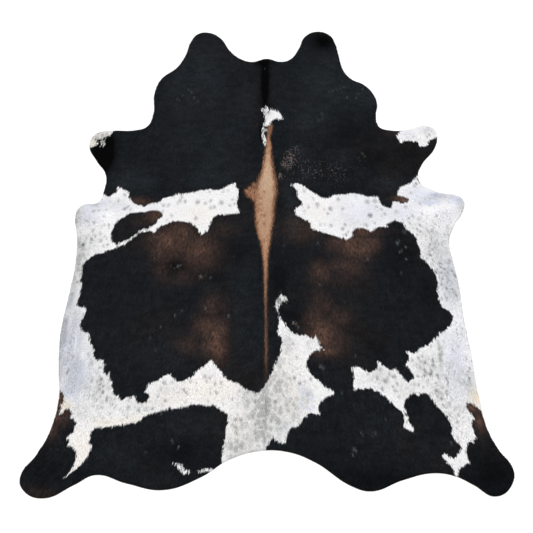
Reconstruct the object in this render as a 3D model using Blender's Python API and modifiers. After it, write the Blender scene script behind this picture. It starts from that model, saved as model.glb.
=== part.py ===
"""Cowhide rug: one whole hide with its hair on, lying on a floor.

Metres, +Z up, +Y towards the neck, +X to the right as the hide is seen from
above.  The origin is under the middle of the hide's own box, on the floor.
"""
import math
from collections import namedtuple

import bmesh
import bpy
from mathutils import Vector
from mathutils.geometry import delaunay_2d_cdt

# ---------------------------------------------------------------- sizes
MM = 0.001
HIDE_LENGTH = 2250 * MM        # ear lobes to hind shanks
LEATHER = 2.0 * MM             # tanned skin
COAT = 3.0 * MM                # short hair lying down on it
THICKNESS = LEATHER + COAT
EDGE_SHARE = 0.6               # the coat thins out towards the cut edge
EDGE_BAND = 30 * MM            # width of that thinning
FACET = 34 * MM                # spacing of the surface's own points
CURVE_STEPS = 5                # steps between two neighbouring edge points
EDGE_CLEARANCE = 0.42          # share of FACET kept free inside the edge
SETTLED = 0.25 * MM            # a roll lower than this lies on the floor

# The cut edge, clockwise as seen from above, from the middle of the neck.
# Each row is one stretch of the edge; its points are (across, along) in mm,
# one wherever the edge turns.
Stretch = namedtuple("Stretch", "name points")
EDGE = [
    Stretch("neck dip, right half", [(0, 957), (65, 939), (112, 951)]),
    Stretch("right ear lobe", [(162, 1025), (190, 1092), (250, 1125), (315, 1102), (340, 1050)]),
    Stretch("right neck side", [(356, 970), (372, 893), (412, 835)]),
    Stretch("right shoulder", [(470, 802), (512, 750), (529, 690), (518, 612), (530, 561), (582, 540)]),
    Stretch("right front shank", [(660, 541), (745, 563), (786, 548), (799, 500), (782, 438)]),
    Stretch("right armpit", [(717, 353), (694, 284), (717, 236), (782, 206)]),
    Stretch("right elbow flap", [(855, 190), (885, 168), (882, 113), (835, 39)]),
    Stretch("right flank", [(802, -50), (810, -140), (826, -260), (831, -400), (847, -560), (856, -728)]),
    Stretch("right hind shank", [(873, -850), (917, -950), (957, -1008), (955, -1067), (882, -1121)]),
    Stretch("right hind bay", [(800, -1078), (734, -1046), (650, -1034), (529, -1060)]),
    Stretch("right rump", [(403, -1102), (330, -1084), (187, -992), (83, -953)]),
    Stretch("left rump", [(-30, -949), (-148, -982), (-257, -1049), (-400, -1097), (-547, -1072)]),
    Stretch("left hind bay", [(-669, -1041), (-747, -1078)]),
    Stretch("left hind shank", [(-860, -1128), (-940, -1100), (-960, -1050), (-904, -959), (-862, -870)]),
    Stretch("left flank", [(-841, -750), (-855, -620), (-865, -473), (-845, -270), (-831, -140)]),
    Stretch("left elbow flap", [(-842, 0), (-858, 75), (-836, 135), (-760, 159)]),
    Stretch("left armpit", [(-741, 215), (-741, 300), (-790, 373)]),
    Stretch("left front shank", [(-829, 455), (-800, 523), (-740, 537), (-620, 541)]),
    Stretch("left shoulder", [(-568, 561), (-541, 635), (-543, 745), (-515, 835)]),
    Stretch("left neck side", [(-440, 906), (-400, 985), (-380, 1060)]),
    Stretch("left ear lobe", [(-345, 1111), (-290, 1118), (-235, 1086), (-180, 1000)]),
    Stretch("neck dip, left half", [(-130, 956), (-75, 938)]),
]

# Soft rolls where the thin belly and shank skin doesn't lie flat: the middle
# of each in mm, the heading of its crest from +Y towards +X in degrees, half
# its length and half its width in mm, and how high it lifts in mm.
Roll = namedtuple("Roll", "name across along heading half_length half_width lift")
ROLLS = [
    Roll("right elbow, crest out to the flap", 800, 140, 72, 120, 38, 11),
    Roll("right elbow, along the cut", 745, 225, 60, 90, 30, 8),
    Roll("right flank, upper", 795, -190, 4, 170, 34, 7),
    Roll("right flank, lower", 775, -560, 6, 210, 42, 10),
    Roll("right front shank", 745, 520, 82, 80, 34, 6),
    Roll("left elbow, along the cut", -800, 105, -74, 80, 32, 9),
    Roll("left flank, upper", -822, -110, -4, 150, 30, 7),
    Roll("left flank, lower", -800, -500, 4, 230, 44, 11),
    Roll("left front shank", -785, 470, -60, 70, 32, 6),
    Roll("right hind shank, outer cut", 850, -800, 10, 110, 30, 6),
    Roll("left hind shank, outer cut", -845, -830, -8, 110, 28, 5),
]


def remove_scene_objects():
    for existing in list(bpy.data.objects):
        bpy.data.objects.remove(existing, do_unlink=True)


def edge_curve():
    """The cut edge as a smooth closed curve through the table's points."""
    corners = [point for stretch in EDGE for point in stretch.points]
    curve = bpy.data.curves.new("cut_edge", "CURVE")
    curve.dimensions = "2D"
    curve.fill_mode = "NONE"
    curve.resolution_u = CURVE_STEPS
    spline = curve.splines.new("BEZIER")
    spline.use_cyclic_u = True
    spline.bezier_points.add(len(corners) - 1)
    for knot, (across, along) in zip(spline.bezier_points, corners):
        knot.co = (across * MM, along * MM, 0.0)
        knot.handle_left_type = "AUTO"
        knot.handle_right_type = "AUTO"
    return curve


def edge_points(collection):
    """Points along the cut edge, centred on the hide's box, at its true length."""
    guide = bpy.data.objects.new("cut_edge_guide", edge_curve())
    collection.objects.link(guide)
    guide.hide_render = True
    guide.display_type = "WIRE"
    bpy.context.view_layer.update()
    evaluated = guide.evaluated_get(bpy.context.evaluated_depsgraph_get())
    traced = bpy.data.meshes.new_from_object(evaluated)
    points = [vertex.co.to_2d() for vertex in traced.vertices]
    bpy.data.meshes.remove(traced)
    low = Vector((min(p.x for p in points), min(p.y for p in points)))
    high = Vector((max(p.x for p in points), max(p.y for p in points)))
    middle = (low + high) / 2
    scale = HIDE_LENGTH / (high.y - low.y)
    return [(point - middle) * scale for point in points]


def inside(point, edge):
    """Whether a point lies within the closed edge, by counting crossings."""
    crossings = 0
    for start, end in zip(edge, edge[1:] + edge[:1]):
        if (start.y > point.y) != (end.y > point.y):
            reach = (point.y - start.y) / (end.y - start.y)
            if point.x < start.x + reach * (end.x - start.x):
                crossings += 1
    return crossings % 2 == 1


def distance_to_edge(point, edge):
    nearest = math.inf
    for start, end in zip(edge, edge[1:] + edge[:1]):
        run = end - start
        share = max(0.0, min(1.0, (point - start).dot(run) / run.length_squared))
        nearest = min(nearest, (point - start - run * share).length)
    return nearest


def surface_points(edge):
    """Rows of points, each row half a step along, that keep clear of the edge."""
    row_step = FACET * math.sqrt(3) / 2
    row_count = int(HIDE_LENGTH / 2 / row_step) + 1
    column_count = int(max(point.x for point in edge) / FACET) + 1
    points = []
    for row in range(-row_count, row_count + 1):
        shift = FACET / 2 if row % 2 else 0.0
        for column in range(-column_count, column_count + 1):
            point = Vector((column * FACET + shift, row * row_step))
            if inside(point, edge) and distance_to_edge(point, edge) > FACET * EDGE_CLEARANCE:
                points.append(point)
    return points


def lift(point):
    """Height of the skin's underside above the floor."""
    height = 0.0
    for roll in ROLLS:
        heading = math.radians(roll.heading)
        offset = point - Vector((roll.across, roll.along)) * MM
        lengthwise = offset.x * math.sin(heading) + offset.y * math.cos(heading)
        sideways = offset.x * math.cos(heading) - offset.y * math.sin(heading)
        spread = (lengthwise / (roll.half_length * MM)) ** 2 + (sideways / (roll.half_width * MM)) ** 2
        height += roll.lift * MM * math.exp(-spread)
    return max(0.0, height - SETTLED)


def skin_mesh(collection):
    """The underside of the hide as one open triangulated surface."""
    edge = edge_points(collection)
    points = edge + surface_points(edge)
    outline = list(range(len(edge)))
    inside_only = 1
    corners, _, triangles, *_ = delaunay_2d_cdt(points, [], [outline], inside_only, 1e-6)

    surface = bmesh.new()
    for corner in corners:
        surface.verts.new((corner.x, corner.y, lift(corner)))
    surface.verts.ensure_lookup_table()
    for triangle in triangles:
        surface.faces.new([surface.verts[index] for index in triangle])
    bmesh.ops.recalc_face_normals(surface, faces=surface.faces)
    if sum(face.normal.z for face in surface.faces) < 0:
        bmesh.ops.reverse_faces(surface, faces=surface.faces)
    mesh = bpy.data.meshes.new("hide")
    surface.to_mesh(mesh)
    surface.free()
    return mesh, edge


def coat_material():
    """Black and white hair over suede-brown leather, shown as its dark coat."""
    material = bpy.data.materials.new("cowhide")
    material.use_nodes = True
    shader = material.node_tree.nodes["Principled BSDF"]
    shader.inputs["Base Color"].default_value = (0.012, 0.013, 0.015, 1.0)
    shader.inputs["Roughness"].default_value = 0.55
    shader.inputs["Metallic"].default_value = 0.0
    return material


def build_hide(collection):
    mesh, edge = skin_mesh(collection)
    hide = bpy.data.objects.new("hide", mesh)
    collection.objects.link(hide)
    mesh.materials.append(coat_material())

    body = hide.vertex_groups.new(name="coat_depth")
    for vertex in mesh.vertices:
        share = min(1.0, distance_to_edge(vertex.co.to_2d(), edge) / EDGE_BAND)
        body.add([vertex.index], share, "REPLACE")

    thickness = hide.modifiers.new("leather_and_coat", "SOLIDIFY")
    thickness.thickness = THICKNESS
    thickness.offset = 1.0
    thickness.vertex_group = body.name
    thickness.thickness_vertex_group = EDGE_SHARE
    mesh.shade_smooth()
    return hide


remove_scene_objects()
rug = bpy.data.collections.new("cowhide_rug")
bpy.context.scene.collection.children.link(rug)
build_hide(rug)
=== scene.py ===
import math
from collections import namedtuple

import bpy
import numpy as np
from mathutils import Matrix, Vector
from mathutils.geometry import delaunay_2d_cdt


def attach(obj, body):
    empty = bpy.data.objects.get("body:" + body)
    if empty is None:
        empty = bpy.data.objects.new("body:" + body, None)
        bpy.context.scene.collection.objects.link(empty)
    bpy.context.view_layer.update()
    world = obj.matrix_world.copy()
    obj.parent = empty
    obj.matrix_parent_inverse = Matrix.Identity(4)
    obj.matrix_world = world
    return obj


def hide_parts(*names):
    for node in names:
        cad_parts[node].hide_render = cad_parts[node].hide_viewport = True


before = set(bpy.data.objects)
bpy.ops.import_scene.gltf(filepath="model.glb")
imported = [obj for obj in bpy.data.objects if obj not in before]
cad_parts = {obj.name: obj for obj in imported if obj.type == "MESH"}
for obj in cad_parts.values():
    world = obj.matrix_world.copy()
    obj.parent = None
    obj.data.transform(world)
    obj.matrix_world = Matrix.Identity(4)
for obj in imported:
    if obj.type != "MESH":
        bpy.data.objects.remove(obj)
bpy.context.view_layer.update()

# ------------------------------------------------------------------ the skin
# One whole cow skin, tanned to soft leather and cut to a clean edge round the
# neck, shanks, flanks and rump.  It lies flat on the floor but for soft rolls
# in the thin belly and shank skin.  Tables give places in mm, across and along.
MM = 0.001
HIDE_LENGTH = 2250 * MM        # ear lobes to hind shanks
THICKNESS = 5.0 * MM           # leather with the short hair lying on it
EDGE_SHARE = 0.6               # it thins out towards the cut edge
EDGE_BAND = 30 * MM            # width of that thinning
SKIN_FACET = 10.5 * MM         # spacing of the skin's own points
CURVE_STEPS = 10               # steps between two neighbouring edge points
EDGE_CLEARANCE = 0.42          # share of SKIN_FACET kept free inside the edge
SETTLED = 0.25 * MM            # a roll lower than this lies on the floor
LUMP = 0.12 * MM               # how uneven the haired side is
LUMP_SIZE = 75 * MM
LUMP_SEED = 4
WAVES = 9                      # in an uneven surface, each of its own length
SHORTEST_WAVE, LONGEST_WAVE = 0.8, 2.2  # as shares of the size asked for
POINTS_AT_ONCE = 2048          # points measured against an outline in one go
FARTHEST = 60 * MM             # a point deeper inside an outline counts as this deep
NO_LENGTH = 1e-12              # keeps a step of no length from dividing by nothing
SAME_PLACE = 1e-6              # points nearer than this are one

Stretch = namedtuple("Stretch", "name points")
EDGE = [
    Stretch("neck dip, right half", [(0, 957), (65, 939), (112, 951)]),
    Stretch("right ear lobe", [(162, 1025), (190, 1092), (250, 1125), (315, 1102), (340, 1050)]),
    Stretch("right neck side", [(356, 970), (372, 893), (412, 835)]),
    Stretch("right shoulder", [
        (470, 802), (512, 750), (529, 690), (518, 612), (530, 561), (582, 540)]),
    Stretch("right front shank", [(660, 541), (745, 563), (786, 548), (799, 500), (782, 438)]),
    Stretch("right armpit", [(717, 353), (694, 284), (717, 236), (782, 206)]),
    Stretch("right elbow flap", [(855, 190), (885, 168), (882, 113), (835, 39)]),
    Stretch("right flank", [
        (802, -50), (810, -140), (826, -260), (831, -400), (847, -560), (856, -728)]),
    Stretch("right hind shank", [
        (873, -850), (917, -950), (957, -1008), (955, -1067), (882, -1121)]),
    Stretch("right hind bay", [(800, -1078), (734, -1046), (650, -1034), (529, -1060)]),
    Stretch("right rump", [(403, -1102), (330, -1084), (187, -992), (83, -953)]),
    Stretch("left rump", [(-30, -949), (-148, -982), (-257, -1049), (-400, -1097), (-547, -1072)]),
    Stretch("left hind bay", [(-669, -1041), (-747, -1078)]),
    Stretch("left hind shank", [
        (-860, -1128), (-940, -1100), (-960, -1050), (-904, -959), (-862, -870)]),
    Stretch("left flank", [(-841, -750), (-855, -620), (-865, -473), (-845, -270), (-831, -140)]),
    Stretch("left elbow flap", [(-842, 0), (-858, 75), (-836, 135), (-760, 159)]),
    Stretch("left armpit", [(-741, 215), (-741, 300), (-790, 373)]),
    Stretch("left front shank", [(-829, 455), (-800, 523), (-740, 537), (-620, 541)]),
    Stretch("left shoulder", [(-568, 561), (-541, 635), (-543, 745), (-515, 835)]),
    Stretch("left neck side", [(-440, 906), (-400, 985), (-380, 1060)]),
    Stretch("left ear lobe", [(-345, 1111), (-290, 1118), (-235, 1086), (-180, 1000)]),
    Stretch("neck dip, left half", [(-130, 956), (-75, 938)]),
]

# The middle of each roll, the heading of its crest from +Y towards +X in
# degrees, half its length and half its width in mm, and its lift in mm.
Roll = namedtuple("Roll", "name across along heading half_length half_width lift")
ROLLS = [
    Roll("right elbow, crest out to the flap", 800, 140, 72, 120, 38, 11),
    Roll("right elbow, along the cut", 745, 225, 60, 90, 30, 8),
    Roll("right flank, upper", 795, -190, 4, 170, 34, 7),
    Roll("right flank, lower", 775, -560, 6, 210, 42, 10),
    Roll("right front shank", 745, 520, 82, 80, 34, 6),
    Roll("left elbow, along the cut", -800, 105, -74, 80, 32, 9),
    Roll("left flank, upper", -822, -110, -4, 150, 30, 7),
    Roll("left flank, lower", -800, -500, 4, 230, 44, 11),
    Roll("left front shank", -785, 470, -60, 70, 32, 6),
    Roll("right hind shank, outer cut", 850, -800, 10, 110, 30, 6),
    Roll("left hind shank, outer cut", -845, -830, -8, 110, 28, 5),
]


def knots(stretches):
    """The points of some stretches in one list, in metres."""
    return np.array([point for stretch in stretches for point in stretch.points]) * MM


def cut_edge():
    """Points along the cut edge, centred on the hide's box, at its true length."""
    curve = bpy.data.curves.new("cut_edge", "CURVE")
    curve.dimensions = "2D"
    curve.fill_mode = "NONE"
    curve.resolution_u = CURVE_STEPS
    corners = knots(EDGE)
    spline = curve.splines.new("BEZIER")
    spline.use_cyclic_u = True
    spline.bezier_points.add(len(corners) - 1)
    for knot, (across, along) in zip(spline.bezier_points, corners):
        knot.co = (across, along, 0.0)
        knot.handle_left_type = "AUTO"
        knot.handle_right_type = "AUTO"
    guide = bpy.data.objects.new("cut_edge", curve)
    bpy.context.scene.collection.objects.link(guide)
    bpy.context.view_layer.update()
    evaluated = guide.evaluated_get(bpy.context.evaluated_depsgraph_get())
    traced = bpy.data.meshes.new_from_object(evaluated)
    ring = np.array([vertex.co.to_2d() for vertex in traced.vertices])
    bpy.data.meshes.remove(traced)
    bpy.data.objects.remove(guide)
    bpy.data.curves.remove(curve)
    low, high = ring.min(axis=0), ring.max(axis=0)
    return (ring - (low + high) / 2) * HIDE_LENGTH / (high[1] - low[1])


def depth_inside(points, ring):
    """How far each point lies inside a closed outline, at most FARTHEST; below 0 outside."""
    run = np.roll(ring, -1, axis=0) - ring
    run_squared = np.maximum((run ** 2).sum(axis=1), NO_LENGTH)
    lowest = np.minimum(ring, ring + run)[:, 1]
    highest = np.maximum(ring, ring + run)[:, 1]
    depths = np.empty(len(points))
    for first in range(0, len(points), POINTS_AT_ONCE):
        some = points[first:first + POINTS_AT_ONCE]
        near = (highest > some[:, 1].min() - FARTHEST) & (lowest < some[:, 1].max() + FARTHEST)
        step = run[near]
        offset = some[:, None, :] - ring[near]
        share = np.clip((offset * step).sum(axis=2) / run_squared[near], 0.0, 1.0)
        gap = offset - share[:, :, None] * step
        distance = np.sqrt((gap ** 2).sum(axis=2).min(axis=1, initial=FARTHEST ** 2))
        above_start, above_end = offset[:, :, 1] >= 0, offset[:, :, 1] >= step[:, 1]
        left_of_step = offset[:, :, 0] * step[:, 1] < offset[:, :, 1] * step[:, 0]
        crossed = (above_start != above_end) & (left_of_step == (step[:, 1] > 0))
        inside = crossed.sum(axis=1) % 2 == 1
        depths[first:first + POINTS_AT_ONCE] = np.where(inside, distance, -distance)
    return depths


def spaced_points(gap, jitter=0.0, seed=0):
    """Rows of points over the hide's box, each row half a step along."""
    row_step = gap * math.sqrt(3) / 2
    half_width, half_length = abs(EDGE_RING).max(axis=0)
    rows = np.arange(-int(half_length / row_step), int(half_length / row_step) + 1)
    columns = np.arange(-int(half_width / gap) - 1, int(half_width / gap) + 1)
    row, column = np.meshgrid(rows, columns, indexing="ij")
    points = np.stack([(column + 0.5 * (row % 2)) * gap, row * row_step], axis=-1).reshape(-1, 2)
    return points + np.random.default_rng(seed).uniform(-jitter, jitter, points.shape) * gap


def wander(points, size, seed):
    """A smooth uneven value from about -1 to 1 that changes over the size given."""
    draw = np.random.default_rng(seed)
    total = np.zeros(len(points))
    for _ in range(WAVES):
        heading = draw.uniform(0, 2 * math.pi)
        length = size * draw.uniform(SHORTEST_WAVE, LONGEST_WAVE)
        phase = draw.uniform(0, 2 * math.pi)
        run = points[:, 0] * math.cos(heading) + points[:, 1] * math.sin(heading)
        total += np.sin(run * 2 * math.pi / length + phase)
    return total / math.sqrt(WAVES)


def lift(points):
    """Height of the flesh side above the floor."""
    height = np.zeros(len(points))
    for roll in ROLLS:
        heading = math.radians(roll.heading)
        across = points[:, 0] - roll.across * MM
        along = points[:, 1] - roll.along * MM
        lengthwise = across * math.sin(heading) + along * math.cos(heading)
        sideways = across * math.cos(heading) - along * math.sin(heading)
        spread = (lengthwise / (roll.half_length * MM)) ** 2
        spread += (sideways / (roll.half_width * MM)) ** 2
        height += roll.lift * MM * np.exp(-spread)
    return np.maximum(0.0, height - SETTLED)


def body(inset):
    """Share of the full thickness at a distance inside the cut edge."""
    return EDGE_SHARE + (1 - EDGE_SHARE) * np.clip(inset / EDGE_BAND, 0.0, 1.0)


def haired_side(points, inset):
    """Height of the haired side above the floor."""
    lumps = LUMP * wander(points, LUMP_SIZE, LUMP_SEED) * np.clip(inset / EDGE_BAND, 0.0, 1.0)
    return lift(points) + THICKNESS * body(inset) + lumps


EDGE_RING = cut_edge()


def skin_mesh():
    """The flesh side as one open triangulated surface, ready to be thickened."""
    middle = spaced_points(SKIN_FACET)
    middle = middle[depth_inside(middle, EDGE_RING) > SKIN_FACET * EDGE_CLEARANCE]
    points = [Vector(point) for point in np.concatenate([EDGE_RING, middle])]
    outline = list(range(len(EDGE_RING)))
    inside_only = 1
    corners, _, triangles, *_ = delaunay_2d_cdt(points, [], [outline], inside_only, SAME_PLACE)
    places = np.array([corner[:] for corner in corners])
    heights = lift(places)
    mesh = bpy.data.meshes.new("skin")
    mesh.from_pydata(np.column_stack([places, heights]).tolist(), [], triangles)
    mesh.update()
    if sum(face.normal.z for face in mesh.polygons) < 0:
        mesh.flip_normals()
    return mesh, places


skin_surface, skin_places = skin_mesh()
skin_inset = np.maximum(depth_inside(skin_places, EDGE_RING), 0.0)

# -------------------------------------------------------------- the markings
# What colour the hair grows in, as on any cow: white patches with ragged edges
# on a black coat, a tan stripe down the spine, brown where the black is worn,
# and small spots, flecks and healed scratches.  Some soft places also paint
# light and shade as colour: painted shade and highlights on the rolls, a
# painted sheen on the neck's black, and painted shade on the black of the rump.
WHITE_LEFT = [
    Stretch("past the left armpit", [(-1000, 200), (-742, 200)]),
    Stretch("shoulder band, left top", [
        (-730, 187), (-719, 182), (-710, 185), (-701, 196), (-682, 210), (-683, 220), (-687, 231),
        (-684, 234), (-673, 230), (-642, 214), (-630, 206), (-627, 196), (-629, 179), (-610, 158)]),
    Stretch("shoulder band, top to the spine", [
        (-595, 146), (-575, 139), (-560, 135), (-544, 137), (-516, 150), (-483, 159), (-469, 175),
        (-433, 185), (-401, 200), (-394, 194), (-368, 200), (-350, 201), (-323, 211), (-275, 218),
        (-261, 224), (-253, 219), (-235, 216), (-216, 218), (-196, 229), (-179, 240), (-159, 248),
        (-148, 259)]),
    Stretch("shoulder band, end at the spine", [
        (-144, 255), (-142, 235), (-135, 224), (-129, 218), (-133, 205), (-134, 187), (-129, 168),
        (-137, 159), (-135, 148), (-139, 137), (-131, 126), (-126, 113), (-120, 102)]),
    Stretch("shoulder band, underside to the point", [
        (-131, 99), (-153, 97), (-174, 92), (-200, 91), (-222, 94), (-233, 87), (-244, 74),
        (-251, 59), (-261, 22), (-268, 11), (-281, 6), (-286, -9), (-294, 2), (-303, 13)]),
    Stretch("shoulder band, underside, scallops", [
        (-305, 24), (-318, 33), (-333, 39), (-340, 51), (-355, 54), (-381, 63), (-398, 61),
        (-433, 56), (-446, 47), (-475, 34), (-486, 27), (-500, 4), (-505, 2), (-516, 11),
        (-529, 14), (-547, 11), (-560, 6), (-571, -2), (-577, -13), (-588, -20)]),
    Stretch("shoulder band, underside to the flank", [
        (-629, -55), (-651, -62), (-682, -80), (-697, -80), (-710, -87), (-717, -95), (-738, -98),
        (-756, -105), (-771, -115), (-782, -126), (-799, -150)]),
    Stretch("flank, upper", [
        (-804, -166), (-803, -181), (-799, -198), (-806, -214), (-806, -224), (-799, -240),
        (-795, -255), (-799, -270), (-802, -290), (-804, -312), (-810, -336), (-804, -344),
        (-793, -350), (-778, -349), (-770, -355), (-769, -366), (-773, -381), (-778, -399)]),
    Stretch("flank, lower", [
        (-782, -418), (-787, -427), (-786, -438), (-775, -451), (-762, -462), (-749, -464),
        (-743, -477), (-741, -499), (-734, -512), (-725, -525), (-719, -547), (-717, -562),
        (-710, -578), (-704, -582), (-695, -579), (-688, -576), (-680, -581), (-672, -593)]),
    Stretch("flank, down to the rump band", [
        (-670, -610), (-671, -628), (-664, -639), (-656, -646), (-651, -639), (-645, -628),
        (-647, -650), (-640, -663), (-633, -674), (-627, -695), (-626, -715), (-621, -730),
        (-612, -730), (-605, -723), (-601, -732), (-597, -743), (-588, -746)]),
    Stretch("rump band, top, left", [
        (-575, -737), (-564, -732), (-555, -737), (-544, -732), (-536, -726), (-534, -739),
        (-529, -752), (-516, -757), (-501, -759), (-488, -754), (-481, -746), (-477, -732),
        (-479, -722), (-488, -717), (-499, -716), (-494, -702), (-488, -687), (-479, -676)]),
    Stretch("rump band, top, middle", [
        (-464, -673), (-446, -664), (-416, -643), (-403, -638), (-390, -646), (-370, -669),
        (-350, -672), (-333, -665), (-303, -646), (-294, -634), (-288, -623), (-253, -602),
        (-241, -586), (-232, -579), (-222, -585), (-216, -597), (-205, -613), (-183, -634)]),
    Stretch("rump band, top, to the spine", [
        (-180, -652), (-172, -657), (-142, -671), (-126, -676), (-113, -678), (-107, -693),
        (-94, -700), (-78, -704), (-65, -712), (-50, -716), (-39, -719), (-28, -713),
        (-20, -700), (13, -650), (21, -634), (25, -615), (26, -602), (37, -595), (43, -580)]),
    Stretch("tail patch, spike up the spine", [
        (41, -569), (52, -560), (59, -549), (56, -538), (56, -523), (62, -510), (64, -495),
        (59, -482), (48, -471), (44, -458), (48, -438), (50, -421), (50, -405), (48, -392)]),
    Stretch("tail patch, right shoulder", [
        (52, -390), (63, -405), (74, -423), (83, -438), (96, -453), (113, -466), (135, -472),
        (153, -475), (168, -474), (179, -484), (190, -490), (198, -482), (205, -474),
        (209, -486), (214, -499), (216, -516), (227, -527), (234, -535), (222, -533)]),
    Stretch("tail patch, right waist", [
        (205, -536), (194, -545), (181, -549), (177, -556), (170, -571), (163, -589),
        (159, -600), (166, -617), (174, -632), (187, -647), (216, -671), (231, -687),
        (248, -700), (264, -707), (275, -712), (268, -720), (253, -728), (235, -737)]),
    Stretch("tail patch, right, down to the cut", [
        (222, -746), (213, -756), (205, -767), (204, -776), (208, -789), (214, -804),
        (200, -802), (179, -799), (166, -802), (157, -812), (144, -820), (137, -831),
        (131, -844), (122, -852), (100, -854), (89, -861), (83, -876), (72, -885), (76, -900),
        (72, -916), (52, -918), (44, -911), (33, -900), (24, -894), (15, -905), (6, -920),
        (-2, -933), (-8, -950)]),
    Stretch("past the cut at the tail", [(-8, -1000), (-176, -1040)]),
    Stretch("tail patch, left, up from the cut", [
        (-176, -985), (-175, -972), (-180, -959), (-175, -942), (-166, -898), (-165, -872),
        (-163, -850), (-158, -831), (-159, -815), (-163, -802), (-174, -794), (-190, -783),
        (-205, -774), (-218, -767), (-233, -771), (-283, -765), (-307, -763), (-323, -772)]),
    Stretch("rump band, underside", [
        (-340, -775), (-372, -780), (-385, -784), (-392, -776), (-403, -783), (-425, -791),
        (-459, -798), (-494, -811), (-505, -822), (-514, -835), (-534, -835), (-564, -845),
        (-599, -847), (-634, -854), (-651, -858), (-671, -854), (-684, -858), (-695, -868)]),
    Stretch("streak down the hind shank, inner side", [
        (-699, -883), (-704, -900), (-704, -916), (-697, -923), (-690, -933), (-697, -946),
        (-704, -961), (-710, -979), (-730, -1005), (-743, -1011), (-782, -1049), (-791, -1054)]),
    Stretch("streak down the hind shank, outer side", [
        (-786, -1046), (-775, -1033), (-762, -1018), (-756, -1005), (-749, -987), (-746, -968),
        (-751, -961), (-754, -950), (-762, -940), (-769, -929), (-780, -926), (-789, -933),
        (-785, -920), (-785, -907), (-793, -898), (-799, -893), (-791, -887), (-778, -885)]),
    Stretch("outer side, up to the flank's cut", [
        (-769, -874), (-765, -859), (-763, -841), (-767, -828), (-780, -821), (-791, -822),
        (-786, -807), (-784, -794), (-791, -783), (-799, -780), (-813, -789), (-821, -798),
        (-832, -804), (-832, -796), (-826, -780), (-832, -767), (-823, -759), (-820, -741),
        (-826, -724), (-834, -711), (-843, -698)]),
    Stretch("past the left flank", [(-1000, -690)]),
]
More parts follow.
